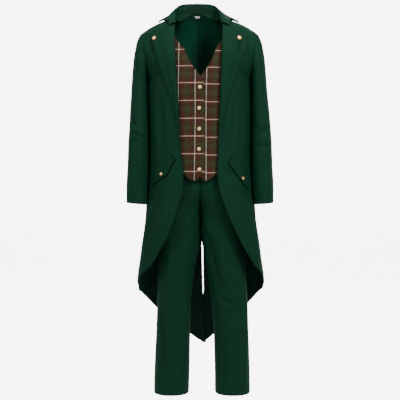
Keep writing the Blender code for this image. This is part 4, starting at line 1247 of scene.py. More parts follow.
# %% Flaps
FLAP_OUT, FLAP_HANG, FLAP_WALL, FLAP_SLOPE = 0.0024, 0.0008, 0.0016, math.radians(48)
FLAP_COLUMNS, FLAP_ROWS, FLAP_DROP = 64, 18, 0.04
FLAPS = {
    RIGHT: {
        "start": 0.1150, "height": 0.9260, "length": 0.143, "slant": 0.009, "point": 0.455,
        "drops": (0.0375, 0.0515, 0.0255), "button": (0.080, 0.0315),
    },
    LEFT: {
        "start": 0.1240, "height": 0.9140, "length": 0.150, "slant": 0.008, "point": 0.430,
        "drops": (0.0360, 0.0395, 0.0300), "button": (0.090, 0.0260),
    },
}


def flap_places(side, along, down):
    """Turn and level of a place on the flap: ALONG its seam and DOWN from it."""
    flap = FLAPS[side]
    across, drop = math.cos(FLAP_SLOPE), math.sin(FLAP_SLOPE)
    level = flap["height"] - along * drop - down * across
    ring = read(RINGS, level)
    start = turn_to(flap["start"], ring["half_width"])
    around = along * across - down * drop
    return start + np.degrees(around / ((ring["half_width"] + ring["front"]) / 2)), level


def coat_flap(side):
    flap = FLAPS[side]
    share = shares(FLAP_COLUMNS, flap["length"])[None, :]
    hang = (1 - shares(FLAP_ROWS, FLAP_DROP))[:, None]
    drop = np.interp(share, (0, flap["point"], 1), flap["drops"])
    along = flap["length"] * share + flap["slant"] * (1 - share) * hang
    turn, level = flap_places(side, along, drop * hang)
    grid, shade = coat_face(side, turn, level, FLAP_OUT + (FLAP_HANG + EDGE_LIFT * hang**3) * hang)
    side_cloth(
        "coat_flap", side, grid, FLAP_WALL, green_twill, "hung", "coat_front",
        sides="left right foot", dark="left foot", lines=shade,
    )
    return grid


flaps = {each: coat_flap(each) for each in SIDES}

# %% [markdown]
# ## The coat's fronts
#
# Each front runs from the cut-away corner at the thigh up its curved edge to the shoulder seam.
# Its foot slopes down towards the side seam, where the tail takes over. The pressed edges of the
# lapel and the flap leave a narrow trough in the cloth below them, with painted shadow along it.
# It follows their outlines.

# %% Outlines pressed into the fronts
EDGE_BESIDE, TROUGH_WIDTH, TROUGH_DEPTH, LAPEL_DARK_FROM = 0.0016, 0.0030, 0.0012, 0.960
# Painted shadow and trough depth under the lapel's and the flap's outlines, as shares.
LAPEL_TROUGH, FLAP_TROUGH = 0.40, 0.95
FRONT_EDGE_SHADE, FRONT_EDGE_WIDTH = 0.90, 0.0040


def lapel_outline(side):
    """The lapel's outer edge from its foot up, then its top edge inwards."""
    edge, top = read(LAPEL, np.linspace(LAPEL_DARK_FROM, LAPEL_TOP, 30)), read(LAPEL, LAPEL_TOP)
    inner = float(read(COAT_EDGE, LAPEL_TOP)[SIDE_NAMES[side]])
    share = np.linspace(0.95, 0.3, 8)
    across = inner + (top["outer"] - inner) * share
    height = LAPEL_TOP + (top["outer_height"] - LAPEL_TOP) * share + EDGE_BESIDE
    up = np.stack([edge["outer"] + EDGE_BESIDE, edge["outer_height"]], axis=-1)
    return on_body(COAT, side, "front", np.concatenate([up, np.stack([across, height], axis=-1)]))


def flap_outline(side):
    """The flap's front end and its lower edge with the point."""
    flap = FLAPS[side]
    slant, length, point, drops = flap["slant"], flap["length"], flap["point"], flap["drops"]
    middle = length * point + slant * (1 - point)
    corners = [(0, 0), (slant, drops[0]), (middle, drops[1]), (length, drops[2])]
    parts = [np.linspace(a, b, 9)[:-1] for a, b in zip(corners[:-1], corners[1:])]
    line = np.concatenate(parts + [np.array([corners[-1]])])
    turn, level = flap_places(side, line[:, 0], line[:, 1] + EDGE_BESIDE)
    return body(COAT, side, turn, level)


# %% Fronts
FRONT_CORNER, SIDE_CORNER, CORNER_REACH = 0.438, 0.413, 0.3
FRONT_COLUMNS, FRONT_ROWS, SHOULDER_ROWS, FRONT_WIDTH = 76, 190, 76, 0.16


def coat_front(side):
    below = COAT["pit"] - FRONT_CORNER
    low_levels = FRONT_CORNER + below * shares(FRONT_ROWS, below)
    level = np.concatenate([low_levels, level_up(COAT, towards_shoulder(SHOULDER_ROWS))])[:, None]
    start = edge_turn(COAT, COAT_EDGE, side, level)
    share = shares(FRONT_COLUMNS, FRONT_WIDTH)[None, :]
    drop = (FRONT_CORNER - SIDE_CORNER) * np.maximum(0, 1 - (level - FRONT_CORNER) / CORNER_REACH)
    turn, low = start + (side_turn(COAT, level) - start) * share, level - drop * share**2
    outlines = ((lapel_outline(side), LAPEL_TROUGH), (flap_outline(side), FLAP_TROUGH))
    outlines = [(path, TROUGH_WIDTH, depth) for path, depth in outlines]
    # The outlines' mask sinks the trough below them and paints shadow along it.
    lines = np.clip(crease_rise(body(COAT, side, turn, low), outlines), 0, 1)
    grid, shade = coat_face(side, turn, low)
    grid = grid - outward(COAT, side, turn, low) * (TROUGH_DEPTH * lines)[..., None]
    # Painted shade along the front's cut edge.
    lines = np.maximum(lines, FRONT_EDGE_SHADE * near_edges(grid, "left", FRONT_EDGE_WIDTH))
    high = smooth(1.22, 1.30, grid[:, -1:, 2])
    side_cloth(
        "coat_front", side, grid, COAT_WALL, green_twill, "hung", "waistcoat_front",
        lines=np.maximum(lines, shade), seam_shade=SEAM_SHADE + (HIGH_SEAM_SHADE - SEAM_SHADE) * high,
    )
    return grid


coat_fronts = {each: coat_front(each) for each in SIDES}

# %% [markdown]
# ## The waistcoat
#
# The right front laps over the left one at the middle, so it stands a little further out there.

# %% Waistcoat fronts
WAISTCOAT_WALL, WAISTCOAT_LAP, FRONT_WAVINESS, CLOSER_EDGE = 0.0016, 0.0032, 0.0004, 1.35
WAISTCOAT_COLUMNS, WAISTCOAT_ROWS, WAISTCOAT_HIGH_ROWS = 60, 100, 60
WAISTCOAT_WIDTH, WAISTCOAT_LENGTH, HEM_GUESS = 0.20, 0.36, 0.85
WAISTCOAT_HEM = table(
    "across height",
    (-0.0175, 0.8480),
    (0.0000, 0.8340),
    (0.0190, 0.8200),
    (0.0430, 0.8290),
    (0.0575, 0.8430),
    (0.1000, 0.8600),
    (0.2000, 0.8730),
)
PLAID_LINES = {
    # where an upright line lies at PLAID_LEVEL, how it leans and how far down, and the height of a level line
    RIGHT: {"upright": 0.0149, "lean": -0.018, "leans_for": 0.40, "level": 1.1792},
    LEFT: {"upright": 0.0265, "lean": 0.033, "leans_for": 0.13, "level": 1.1745},
}
PLAID_LEVEL, PLAID_COLUMN = 1.180, 0.045
WAISTCOAT_CREASES = {
    # across and height at the start and at the end, bow, half width, rise
    (RIGHT, "front"): (
        (0.012, 1.150, 0.070, 1.190, 0.10, 0.010, -0.0012),
        (0.014, 0.940, 0.064, 0.975, 0.08, 0.010, 0.0011),
    ),
    (LEFT, "front"): (
        (0.020, 1.080, 0.068, 1.110, -0.10, 0.011, -0.0012),
        (0.016, 0.900, 0.060, 0.880, 0.08, 0.011, -0.0011),
    ),
    (RIGHT, "back"): (
        (0.060, 1.340, 0.020, 1.230, 0.05, 0.012, -0.0014),
    ),
    (LEFT, "back"): (
        (0.064, 1.330, 0.024, 1.220, -0.05, 0.012, -0.0014),
    ),
}


def waistcoat_front(side):
    share = shares(WAISTCOAT_COLUMNS, WAISTCOAT_WIDTH)[None, :] ** CLOSER_EDGE
    low_rows = shares(WAISTCOAT_ROWS, WAISTCOAT_LENGTH)[:, None]
    hem = np.full((len(low_rows), share.shape[1]), HEM_GUESS)
    for _ in range(HEM_ROUNDS):
        level = hem + (WAISTCOAT["pit"] - hem) * low_rows
        start = edge_turn(WAISTCOAT, WAISTCOAT_EDGE, side, level)
        turn = start + (SIDE_TURN - start) * share
        hem = read(WAISTCOAT_HEM, body(WAISTCOAT, side, turn, level)[..., 0])["height"]
    upper = level_up(WAISTCOAT, towards_shoulder(WAISTCOAT_HIGH_ROWS))[:, None]
    start = edge_turn(WAISTCOAT, WAISTCOAT_EDGE, side, upper)
    level = np.concatenate([level, np.repeat(upper, share.shape[1], axis=1)])
    turn = np.concatenate([turn, start + (side_turn(WAISTCOAT, upper) - start) * share])
    flat = body(WAISTCOAT, side, turn, level)
    rise = crease_rise(flat, creases_of(WAISTCOAT_CREASES, WAISTCOAT, side))
    rise = rise + unevenness(flat, FRONT_WAVINESS)
    if side == RIGHT:
        rise = rise + WAISTCOAT_LAP * (1 - smooth(0.020, 0.055, flat[..., 0]))
    grid = flat + outward(WAISTCOAT, side, turn, level) * rise[..., None]
    lines = PLAID_LINES[side]
    across = grid[:, :1, 0] + run_lengths(grid[..., :2], 1)
    column = np.abs(grid[0, :, 0] - PLAID_COLUMN).argmin()
    up = np.interp(grid[..., 2], grid[:, column, 2], grid[0, column, 2] + run_lengths(grid, 0)[:, column])
    lean = lines["lean"] * np.minimum(PLAID_LEVEL - up, lines["leans_for"])
    pattern = np.stack([across - lines["upright"] + lean, up - lines["level"]], axis=-1)
    side_cloth(
        "waistcoat_front", side, grid, WAISTCOAT_WALL, plaid_cloth, "hung", "waistcoat_back",
        slot="plaid_cloth", pattern=pattern,
    )
    return grid


waistcoat_fronts = {each: waistcoat_front(each) for each in SIDES}

# %% Waistcoat backs
WAISTCOAT_BACK_HEM, LINING_SEAM_SHADE, BACK_WAVINESS = 0.873, 0.55, 0.0005
WAISTCOAT_BACK_COUNTS = (70, 60, 26, 26)


def waistcoat_back(side):
    def level_hem(across):
        return np.full_like(across, WAISTCOAT_BACK_HEM)

    turn, level = back_panel(WAISTCOAT, side, level_hem, *WAISTCOAT_BACK_COUNTS)
    flat = body(WAISTCOAT, side, turn, level)
    rise = crease_rise(flat, creases_of(WAISTCOAT_CREASES, WAISTCOAT, side))
    rise = rise + unevenness(flat, BACK_WAVINESS)
    grid = flat + outward(WAISTCOAT, side, turn, level) * rise[..., None]
    side_cloth(
        "waistcoat_back", side, grid, WAISTCOAT_WALL, lining, "hung", "waistcoat_front",
        slot="green_lining_cloth", seam_shade=LINING_SEAM_SHADE,
    )


for each in SIDES:
    waistcoat_back(each)

# %% [markdown]
# ## The trousers
#
# Each leg has a front and a back panel, sewn at the inside and outside leg and, above the fork,
# to the other leg. The photo shows long soft folds down the thighs and a few wrinkles at the
# knees. Creases here are told by how far across the leg they lie and by their height.

# %% Trousers
TROUSER_WALL, TROUSER_ROUNDNESS, TROUSER_HEM = 0.0014, 2.2, 0.018
TROUSERS = table(
    "height right_inner right_outer left_inner left_outer front back crest inner_front inner_back",
    (0.000, 0.0420, 0.1750, 0.0565, 0.1900, 0.063, 0.070, 0.0650, 0.000, 0.000),
    (0.080, 0.0400, 0.1735, 0.0560, 0.1890, 0.064, 0.070, 0.0650, 0.000, 0.000),
    (0.270, 0.0365, 0.1655, 0.0510, 0.1835, 0.067, 0.072, 0.0640, 0.000, 0.000),
    (0.376, 0.0325, 0.1620, 0.0405, 0.1800, 0.069, 0.074, 0.0650, 0.000, 0.000),
    (0.479, 0.0215, 0.1590, 0.0266, 0.1745, 0.073, 0.078, 0.0710, 0.000, 0.000),
    (0.550, 0.0075, 0.1580, 0.0150, 0.1710, 0.077, 0.083, 0.0760, 0.000, 0.000),
    (0.600, -0.0010, 0.1580, 0.0045, 0.1690, 0.080, 0.087, 0.0790, 0.000, 0.000),
    (0.660, -0.0008, 0.1600, 0.0014, 0.1700, 0.085, 0.093, 0.0800, -0.004, -0.004),
    (0.700, 0.0004, 0.1625, 0.0014, 0.1711, 0.089, 0.097, 0.0795, -0.018, -0.018),
    (0.720, 0.0004, 0.1640, 0.0012, 0.1715, 0.091, 0.100, 0.0790, -0.032, -0.032),
    (0.745, 0.0000, 0.1660, 0.0002, 0.1720, 0.094, 0.105, 0.0770, -0.056, 0.010),
    (0.758, -0.0002, 0.1675, 0.0000, 0.1722, 0.096, 0.109, 0.0740, -0.068, 0.054),
    (0.775, -0.0002, 0.1690, -0.0002, 0.1725, 0.098, 0.108, 0.0680, -0.081, 0.088),
    (0.805, -0.0002, 0.1710, -0.0002, 0.1725, 0.100, 0.110, 0.0560, -0.096, 0.106),
    (0.860, -0.0002, 0.1700, -0.0002, 0.1700, 0.100, 0.104, 0.0450, -0.099, 0.1025),
    (0.920, -0.0002, 0.1640, -0.0002, 0.1640, 0.098, 0.0985, 0.0400, -0.0972, 0.0975),
    (0.955, -0.0002, 0.1600, -0.0002, 0.1600, 0.097, 0.0955, 0.0400, -0.0962, 0.0948),
)
LEG_FOLDS = (
    # side, across at the foot and at the head, foot, head, half width, rise
    (RIGHT, 0.118, 0.118, 0.12, 0.62, 0.016, 0.0040),
    (RIGHT, 0.140, 0.140, 0.20, 0.60, 0.014, -0.0035),
    (LEFT, 0.075, 0.028, 0.41, 0.64, 0.014, -0.0050),
    (LEFT, 0.100, 0.062, 0.36, 0.64, 0.015, 0.0040),
    (LEFT, 0.088, 0.100, 0.04, 0.26, 0.014, -0.0035),
)
LEG_CREASES = {
    # across and height at the start and at the end, bow, half width, rise
    (RIGHT, "front"): (
        (0.112, 0.600, 0.120, 0.100, 0.010, 0.0070, 0.0022),
        (0.150, 0.365, 0.136, 0.120, -0.02, 0.0080, -0.0024),
        (0.070, 0.400, 0.112, 0.372, 0.10, 0.0080, -0.0030),
        (0.060, 0.360, 0.096, 0.340, -0.08, 0.0075, -0.0022),
        (0.020, 0.734, 0.076, 0.672, 0.10, 0.0120, -0.0018),
        (0.010, 0.700, 0.056, 0.640, 0.08, 0.0110, 0.0028),
        (0.060, 0.780, 0.120, 0.700, -0.06, 0.0120, -0.0026),
    ),
    (LEFT, "front"): (
        (0.022, 0.730, 0.080, 0.664, -0.10, 0.0120, -0.0018),
        (0.012, 0.690, 0.050, 0.610, -0.06, 0.0100, 0.0026),
        (0.028, 0.600, 0.068, 0.420, 0.04, 0.0090, -0.0034),
        (0.074, 0.570, 0.104, 0.405, 0.05, 0.0090, 0.0030),
        (0.070, 0.378, 0.130, 0.356, 0.10, 0.0075, -0.0036),
        (0.066, 0.352, 0.116, 0.348, -0.10, 0.0070, 0.0022),
        (0.080, 0.332, 0.138, 0.322, 0.08, 0.0080, -0.0026),
        (0.082, 0.232, 0.090, 0.020, 0.01, 0.0080, -0.0022),
        (0.168, 0.480, 0.172, 0.040, 0.01, 0.0070, 0.0026),
        (0.130, 0.300, 0.138, 0.060, -0.02, 0.0090, 0.0016),
    ),
    (RIGHT, "back"): (
        (0.020, 0.740, 0.110, 0.800, 0.12, 0.0130, -0.0042),
        (0.050, 0.400, 0.130, 0.420, 0.10, 0.0100, -0.0034),
        (0.056, 0.360, 0.126, 0.350, 0.08, 0.0090, 0.0024),
        (0.104, 0.660, 0.110, 0.440, 0.02, 0.0120, 0.0028),
        (0.110, 0.300, 0.116, 0.050, 0.01, 0.0110, -0.0022),
    ),
    (LEFT, "back"): (
        (0.024, 0.735, 0.116, 0.790, -0.12, 0.0130, -0.0042),
        (0.070, 0.390, 0.150, 0.400, -0.10, 0.0100, -0.0036),
        (0.064, 0.350, 0.142, 0.365, -0.08, 0.0090, 0.0024),
        (0.116, 0.640, 0.112, 0.450, 0.02, 0.0120, 0.0028),
        (0.128, 0.290, 0.124, 0.040, 0.01, 0.0110, -0.0022),
    ),
}
INSIDE_SHARE = 0.36
SEAT_FROM, SEAT_LAP, LEG_SEAM_SHADE, SEAM_FROM = 0.742, 0.0006, 0.45, 0.77
FORK_FROM, FORK_TO, TROUSER_TOP, HALF_LEG = 0.74, 0.80, 0.9552, 0.13
LEG_ROWS, FORK_ROWS, SEAT_ROWS, INNER_COLUMNS, OUTER_COLUMNS = 130, 22, 26, 19, 34


def leg_points(side, front, share, height):
    """Half a leg's ring, from the inside leg or the middle seam (0) round to the outside (1)."""
    share, height = np.broadcast_arrays(share, height)
    leg = read(TROUSERS, height)
    inner, outer = leg[f"{SIDE_NAMES[side]}_inner"], leg[f"{SIDE_NAMES[side]}_outer"]
    depth = -leg["front"] if front else leg["back"]
    inner_depth = leg["inner_front"] if front else leg["inner_back"]
    narrow = 1 + ((outer - inner) / HALF_LEG - 1) * (1 - smooth(0.45, 0.52, height))
    crest = inner + leg["crest"] * narrow
    power = 2 / TROUSER_ROUNDNESS
    first = np.pi / 2 * np.clip(share / INSIDE_SHARE, 0, 1)
    second = np.pi / 2 * np.clip((share - INSIDE_SHARE) / (1 - INSIDE_SHARE), 0, 1)
    inside = share < INSIDE_SHARE
    inner_across = crest - (crest - inner) * np.cos(first) ** power
    across = np.where(inside, inner_across, crest + (outer - crest) * np.sin(second) ** power)
    inner_forward = inner_depth + (depth - inner_depth) * np.sin(first) ** power
    forward = np.where(inside, inner_forward, depth * np.abs(np.cos(second)) ** power)
    if front:
        forward = forward - fold_rise(LEG_FOLDS, side, across, height)
    return np.stack([across, forward, height], axis=-1)


def leg_crease_path(side, front, places):
    """Points of the leg under places seen from the front or behind, found on a fine ring."""
    share = np.linspace(0, 1, 200)[None, :]
    rings = leg_points(side, front, share, places[:, 1:])
    nearest = np.abs(rings[..., 0] - places[:, :1]).argmin(axis=1)
    return rings[np.arange(len(places)), nearest]


def trouser_panel(side, front):
    where, facing = ("front", 1) if front else ("back", -1)
    first = shares(INNER_COLUMNS, HALF_LEG, high=False) * INSIDE_SHARE
    second = shares(OUTER_COLUMNS, HALF_LEG, low=False)
    share = np.concatenate([first[:-1], INSIDE_SHARE + (1 - INSIDE_SHARE) * second])[None, :]
    low = TROUSER_HEM + shares(LEG_ROWS, 0.72) * (FORK_FROM - TROUSER_HEM)
    fork = np.linspace(FORK_FROM, FORK_TO, FORK_ROWS)[1:]
    seat = np.linspace(FORK_TO, TROUSER_TOP, SEAT_ROWS)[1:]
    height = np.concatenate([low, fork, seat])[:, None]
    flat = leg_points(side, front, share, height)
    creases = laid(LEG_CREASES[side, where], lambda places: leg_crease_path(side, front, places))
    normal = grid_normals(flat) * facing
    across = run_lengths(flat, 1)
    held_edges = smooth(0.0, 0.02, across) * smooth(0.0, 0.02, across[:, -1:] - across)
    rise, shade = creased(flat, creases, LEG_STRENGTH)
    grid = flat + normal * ((rise + unevenness(flat)) * held_edges)[..., None]
    grid = seams_turned_down(grid, ALL_EDGES, sign=facing, left_from=SEAM_FROM)
    grid[:, 0, 0] = np.where(height[:, 0] > SEAT_FROM, np.minimum(grid[:, 0, 0], -SEAT_LAP), grid[:, 0, 0])
    seams = near_edges(grid, ALL_EDGES, SHADOW_WIDTH, SEAM_FROM)
    cloth(
        sided(f"trouser_{where}", side), placed(side, grid), TROUSER_WALL, green_twill, "hung",
        ["trouser_waistband"], flip=(side == LEFT) != front,
        shadow=np.maximum(LEG_SEAM_SHADE * seams, shade * held_edges),
    )
    return grid, grid_normals(grid) * facing


trouser_panels = {(side, front): trouser_panel(side, front) for side in SIDES for front in (True, False)}

# %% [markdown]
# ## Buttons
#
# The buttons are gold-coloured metal: a flat back, a rounded rim, a narrow groove and a low dome.
# A turned shape is half an outline carried round an axis, as on a lathe. The Screw modifier does
# that too, but here each button also has to face the way its cloth faces, so its points are worked
# out in place.

# %% Gold
GOLD, GOLD_LIGHT, GOLD_IN_SHADE = (0.96, 0.70, 0.36), (0.99, 0.84, 0.55), (0.15, 0.07, 0.014)
# Where the painted shade on a button's rim starts and where it is full, as shares of the radius.
RIM_SHADE_FROM, RIM_SHADE_TO = 0.52, 0.78


def gold():
    tree = Tree("gold_metal")
    tree.shade("Metallic", 1.0)
    tree.shade("Roughness", 0.48)
    bright = tree.mix(tree.noise(260.0), GOLD, GOLD_LIGHT)
    # Painted shade: the button goes dark brown from the dome's edge out over the groove and the rim.
    tree.shade("Base Color", tree.mix(tree.on_piece("rim_shade"), bright, GOLD_IN_SHADE))
    tree.bump(tree.noise(1500.0, 2.0), 0.25, 0.00008)
    return tree.material


gold_metal = gold()
print("gold ready")

# %% A button turned round its axis
BUTTON_PROFILE = (
    # share of the radius across, share of the radius high
    (0.001, 0.46), (0.20, 0.455), (0.42, 0.440), (0.58, 0.415), (0.66, 0.370), (0.72, 0.300), (0.78, 0.340),
    (0.86, 0.400), (0.93, 0.370), (0.98, 0.280), (1.00, 0.120), (0.97, 0.030), (0.90, 0.000), (0.001, 0.000),
)
BUTTON_STANDS_OFF = 0.0006
WAISTCOAT_BUTTON_RADIUS, LAPEL_BUTTON_RADIUS, FLAP_BUTTON_RADIUS = 0.0088, 0.0095, 0.0072
WAISTCOAT_BUTTONS = (
    (0.0022, 1.1629), (-0.0018, 1.0870), (-0.0029, 1.0108), (-0.0036, 0.9370), (-0.0025, 0.8627),
)
LAPEL_BUTTONS = {RIGHT: (0.1640, 1.3450), LEFT: (0.1460, 1.3455)}
ROUND_STEPS = 40


def turned_button(node, radius, seat, way):
    """A closed button with its back on SEAT, facing WAY."""
    turn = Vector(way).normalized().to_track_quat("Z", "Y")
    points = []
    for step in range(ROUND_STEPS):
        angle = 2 * math.pi * step / ROUND_STEPS
        for share, high in BUTTON_PROFILE:
            wide = share * radius
            spot = Vector((wide * math.cos(angle), wide * math.sin(angle), high * radius))
            points.append(Vector(seat) + turn @ spot)
    rows = len(BUTTON_PROFILE)
    faces = []
    for step in range(ROUND_STEPS):
        first, second = step * rows, (step + 1) % ROUND_STEPS * rows
        faces += [(first + k + 1, first + k, second + k, second + k + 1)[::-1] for k in range(rows - 1)]
    faces.append([step * rows for step in range(ROUND_STEPS)])
    faces.append([(ROUND_STEPS - 1 - step) * rows + rows - 1 for step in range(ROUND_STEPS)])
    mesh = bpy.data.meshes.new(f"{node}_turned")
    mesh.from_pydata(points, [], faces)
    # Painted shade at each point of the profile, darker towards the rim.
    rim_shade = [float(smooth(RIM_SHADE_FROM, RIM_SHADE_TO, share)) for share, _ in BUTTON_PROFILE] * ROUND_STEPS
    mesh.attributes.new("rim_shade", "FLOAT", "POINT").data.foreach_set("value", rim_shade)
    mesh.materials.append(gold_metal)
    mesh.shade_smooth()
    piece = in_scene(f"{node}_turned", mesh)
    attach(piece, root)
    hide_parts(node)


def sew_on(node, radius, shape, side, turn, level, out):
    """A button that stands OUT from the cloth's face, which it follows into its creases."""
    flat = body(shape, side, turn, level)
    rise = float(coat_rise(side, flat[None])[0][0]) if shape is COAT else 0.0
    way = outward(shape, side, turn, level)
    seat, beyond = (placed(side, flat + way * (out + BUTTON_STANDS_OFF + rise + more)) for more in (0, 0.01))
    turned_button(node, radius, seat, beyond - seat)


def seen_at(shape, across, height):
    """Turn and level of a place that is seen from the front."""
    level = level_of(shape, np.float64(across), height)
    return turn_at(shape, across, level), level


for number, (across, height) in enumerate(WAISTCOAT_BUTTONS, 1):
    place = seen_at(WAISTCOAT, -across, height)
    sew_on(f"waistcoat_button_{number}", WAISTCOAT_BUTTON_RADIUS, WAISTCOAT, RIGHT, *place, WAISTCOAT_LAP)
for side, (across, height) in LAPEL_BUTTONS.items():
    place = seen_at(COAT, across, height)
    sew_on(sided("lapel_button", side), LAPEL_BUTTON_RADIUS, COAT, side, *place, LAPEL_OUT)
for side, flap in FLAPS.items():
    place = flap_places(side, *flap["button"])
    out = FLAP_OUT + FLAP_HANG * flap["button"][1] / flap["drops"][1]
    sew_on(sided("flap_button", side), FLAP_BUTTON_RADIUS, COAT, side, *place, out)
print("buttons: 9")

# %% [markdown]
# ## Waistband and label
#
# The waistband is hidden under the waistcoat: a band all round, which the four panels of the
# trousers hang from. The label is a bare strip of woven tape on the inside of the waistcoat's back.

# %% Waistband
BAND_FOOT, BAND_TOP, BAND_HALF_WIDTH = 0.9553, 0.992, 0.160
BAND_FRONT, BAND_BACK, BAND_WALL = 0.0970, 0.0955, 0.0020
BAND_ROWS, BAND_COLUMNS = 14, 160


def trouser_waistband():
    around = 2 * np.pi * np.arange(BAND_COLUMNS) / BAND_COLUMNS
    height = BAND_FOOT + (BAND_TOP - BAND_FOOT) * shares(BAND_ROWS, BAND_TOP - BAND_FOOT)
    across = BAND_HALF_WIDTH * signed_power(np.sin(around), 2 / ROUNDNESS)
    depth = np.where(np.cos(around) > 0, BAND_FRONT, BAND_BACK)
    forward = -depth * signed_power(np.cos(around), 2 / ROUNDNESS)
    grid = np.stack(np.broadcast_arrays(across[None, :], forward[None, :], height[:, None]), axis=-1)
    cloth(
        "trouser_waistband", placed(LEFT, grid), BAND_WALL, green_twill, "hung",
        ["trouser_back_left", "trouser_back_right"], around=True,
        shadow=LEG_SEAM_SHADE * near_edges(grid, "foot head", SHADOW_WIDTH),
    )


trouser_waistband()

# %% Label
LABEL_WIDTH, LABEL_HEIGHT, LABEL_TOP, LABEL_WALL, LABEL_INSIDE = 0.019, 0.0075, 1.4560, 0.0010, 0.0047
LABEL_THREADS, LABEL_DARK, LABEL_LIGHT = 0.0005, (0.70, 0.70, 0.68), (0.86, 0.86, 0.84)


def label_tape():
    """A fine plain weave: two sets of threads that cross."""
    tree = Tree("label_tape")
    across, up = tree.cloth_map()
    threads = [tree.waves(way, LABEL_THREADS) for way in (across, up)]
    woven = tree.math("MULTIPLY_ADD", tree.math("MULTIPLY", *threads), 0.5, 0.5)
    tree.shade("Base Color", tree.mix(woven, LABEL_DARK, LABEL_LIGHT))
    tree.bump(woven, 0.5, 0.0001)
    set_cloth(tree, 0.7, (1.0, 1.0, 1.0))
    return tree.material


def neck_label():
    across = np.linspace(-LABEL_WIDTH / 2, LABEL_WIDTH / 2, 25)[None, :]
    height = np.linspace(LABEL_TOP - LABEL_HEIGHT, LABEL_TOP, 13)[:, None]
    level = level_of(WAISTCOAT, np.abs(across), height)
    turn = 180 - turn_at(WAISTCOAT, np.abs(across), level)
    grid = body(WAISTCOAT, LEFT, turn, level) - outward(WAISTCOAT, LEFT, turn, level) * LABEL_INSIDE
    grid[..., 0] = across
    cloth(
        "neck_label", placed(LEFT, grid), LABEL_WALL, label_tape(), "hung", ["waistcoat_back_left"],
        slot="label_tape", kind="tape", flip=True,
    )


neck_label()

# %% [markdown]
# ## Stitches
#
# A tailor sews a few millimetres inside each edge. A line of places runs beside the edges of the
# panels, worked out from the same grids. One tree of geometry nodes resamples each line to the
# length of a stitch, lays a small oval thread on every place, turned along the line and flat on
# the cloth, and joins them into one mesh.

# %% Lines beside the edges
STITCH_SIZE = (0.0030, 0.0006, 0.0005)
STITCH_SPACING, STITCH_OUT = 0.0042, 0.0001
GREEN_THREAD = (0.0022, 0.0250, 0.0120), (0.0040, 0.0380, 0.0190)
BROWN_THREAD = (0.030, 0.016, 0.010), (0.050, 0.028, 0.018)
EDGE_STITCH, HEM_STITCH, CUFF_STITCH, LEG_STITCH = 0.005, 0.006, 0.020, 0.025


def beside_edge(grid, normals, edge, inset, first=0.0, last=1.0):
    """Places INSET from one edge of a grid, and the way the cloth faces there."""
    axis = 1 if edge in ("left", "right") else 0
    if edge in ("right", "head"):
        grid, normals = np.flip(grid, axis), np.flip(normals, axis)
    runs = run_lengths(grid, axis)
    if axis == 0:
        grid, normals, runs = grid.swapaxes(0, 1), normals.swapaxes(0, 1), runs.T
    step = np.clip((runs < inset).sum(axis=1) - 1, 0, runs.shape[1] - 2)
    row = np.arange(len(runs))
    gap = np.maximum(runs[row, step + 1] - runs[row, step], 1e-9)
    share = ((inset - runs[row, step]) / gap)[:, None]
    spots = grid[row, step] * (1 - share) + grid[row, step + 1] * share + normals[row, step] * STITCH_OUT
    keep = slice(int(first * len(runs)), int(last * len(runs)))
    return spots[keep], normals[row, step][keep]


COAT_LINES = (
    # grids, edge, distance from it, first and last share of the edge
    (coat_fronts, "left", EDGE_STITCH, 0.02, 0.46),
    (coat_fronts, "foot", HEM_STITCH, 0.03, 0.97),
    (coat_backs, "foot", HEM_STITCH, 0.03, 0.97),
    (coat_backs, "right", HEM_STITCH, 0.02, 0.36),
    (lapels, "right", EDGE_STITCH, 0.03, 0.97),
    (lapels, "head", EDGE_STITCH, 0.06, 0.94),
    (flaps, "foot", EDGE_STITCH, 0.05, 0.97),
    (flaps, "left", EDGE_STITCH, 0.12, 0.96),
)
WAISTCOAT_LINES = (
    (waistcoat_fronts, "left", EDGE_STITCH, 0.02, 0.98),
    (waistcoat_fronts, "foot", EDGE_STITCH, 0.0, 1.0),
)


def sewn(side, grid, normals, *where):
    spots, ways = beside_edge(grid, normals, *where)
    return placed(side, spots), ways * np.array([side, 1, 1])


def lines_of(rows, side):
    return [sewn(side, grids[side], grid_normals(grids[side]), *where) for grids, *where in rows]


def green_lines(side):
    closed = [np.concatenate([part, part[:, :1]], axis=1) for part in coat_sleeves[side]]
    legs = [sewn(side, *trouser_panels[side, front], "foot", LEG_STITCH) for front in (True, False)]
    return lines_of(COAT_LINES, side) + [sewn(side, *closed, "head", CUFF_STITCH)] + legs


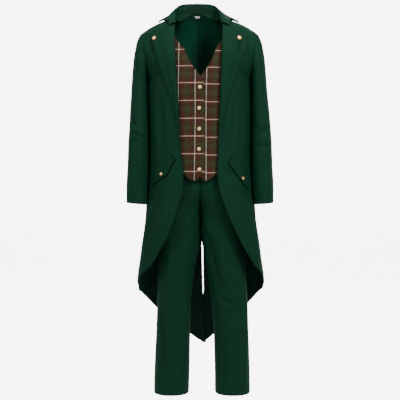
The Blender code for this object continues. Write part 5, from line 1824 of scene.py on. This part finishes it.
# %% A tree that sews along lines
def sewing_tree():
    """Lines in, stitches out; the spacing is the modifier's own input."""
    tree = bpy.data.node_groups.new("sewing", "GeometryNodeTree")

    def socket(name, kind, way="INPUT"):
        return tree.interface.new_socket(name, in_out=way, socket_type=f"NodeSocket{kind}")

    def add(kind, settings=None, **values):
        return add_node(tree, kind, settings, **values).outputs

    socket("Lines", "Geometry")
    spacing, thread = socket("Spacing", "Float"), socket("Thread", "Material")
    socket("Stitches", "Geometry", "OUTPUT")
    start = add("NodeGroupInput")
    curves = add("GeometryNodeMeshToCurve", Mesh=start["Lines"])["Curve"]
    by_length = {"mode": "LENGTH"}
    even = add("GeometryNodeResampleCurve", by_length, Curve=curves, Length=start["Spacing"])["Curve"]
    facing = add("GeometryNodeInputNamedAttribute", {"data_type": "FLOAT_VECTOR"}, Name="facing")["Attribute"]
    upright = add("FunctionNodeAlignRotationToVector", {"axis": "Z"}, Vector=facing)["Rotation"]
    along = add("GeometryNodeInputTangent")["Tangent"]
    about_z = {"axis": "X", "pivot_axis": "Z"}
    turned = add("FunctionNodeAlignRotationToVector", about_z, Rotation=upright, Vector=along)["Rotation"]
    oval = add("GeometryNodeMeshUVSphere", Segments=6, Rings=4, Radius=0.5)["Mesh"]
    stitch = add("GeometryNodeTransform", Geometry=oval, Scale=STITCH_SIZE)["Geometry"]
    stitches = add("GeometryNodeInstanceOnPoints", Points=even, Instance=stitch, Rotation=turned)["Instances"]
    joined = add("GeometryNodeRealizeInstances", Geometry=stitches)["Geometry"]
    sewn_mesh = add("GeometryNodeSetMaterial", Geometry=joined, Material=start["Thread"])["Geometry"]
    add("NodeGroupOutput", Stitches=sewn_mesh)
    return tree, spacing.identifier, thread.identifier


def thread_material(name, dark, light):
    tree = Tree(name)
    tree.shade("Base Color", tree.mix(tree.noise(700.0), dark, light))
    set_cloth(tree, 0.6, light)
    return tree.material


sewing, spacing_input, thread_input = sewing_tree()


def stitching(name, lines, material):
    """Stitches along (places, ways) lines, as one plain mesh."""
    points = np.concatenate([spots for spots, _ in lines])
    ways = np.concatenate([way for _, way in lines])
    ends = np.cumsum([len(spots) for spots, _ in lines])
    edges = [(i, i + 1) for i in range(len(points) - 1) if i + 1 not in ends]
    mesh = bpy.data.meshes.new(name)
    mesh.from_pydata(points.tolist(), edges, [])
    facing = mesh.attributes.new("facing", "FLOAT_VECTOR", "POINT")
    facing.data.foreach_set("vector", ways.reshape(-1).astype("f"))
    piece = in_scene(name, mesh)
    sewer = piece.modifiers.new("sewing", "NODES")
    sewer.node_group = sewing
    sewer[spacing_input], sewer[thread_input] = STITCH_SPACING, material
    seen = piece.evaluated_get(bpy.context.evaluated_depsgraph_get())
    result = bpy.data.meshes.new_from_object(seen)
    piece.modifiers.remove(sewer)
    piece.data = result
    result.shade_smooth()
    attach(piece, root)
    print(name, len(result.polygons), "faces")


collar_line = beside_edge(collar_grid, -grid_normals(collar_grid), "right", EDGE_STITCH, 0.02, 0.98)
green_thread = thread_material("green_thread", *GREEN_THREAD)
brown_thread = thread_material("brown_thread", *BROWN_THREAD)
on_green = green_lines(LEFT) + green_lines(RIGHT) + [collar_line]
on_brown = lines_of(WAISTCOAT_LINES, LEFT) + lines_of(WAISTCOAT_LINES, RIGHT)
stitching("stitching_green", on_green, green_thread)
stitching("stitching_brown", on_brown, brown_thread)
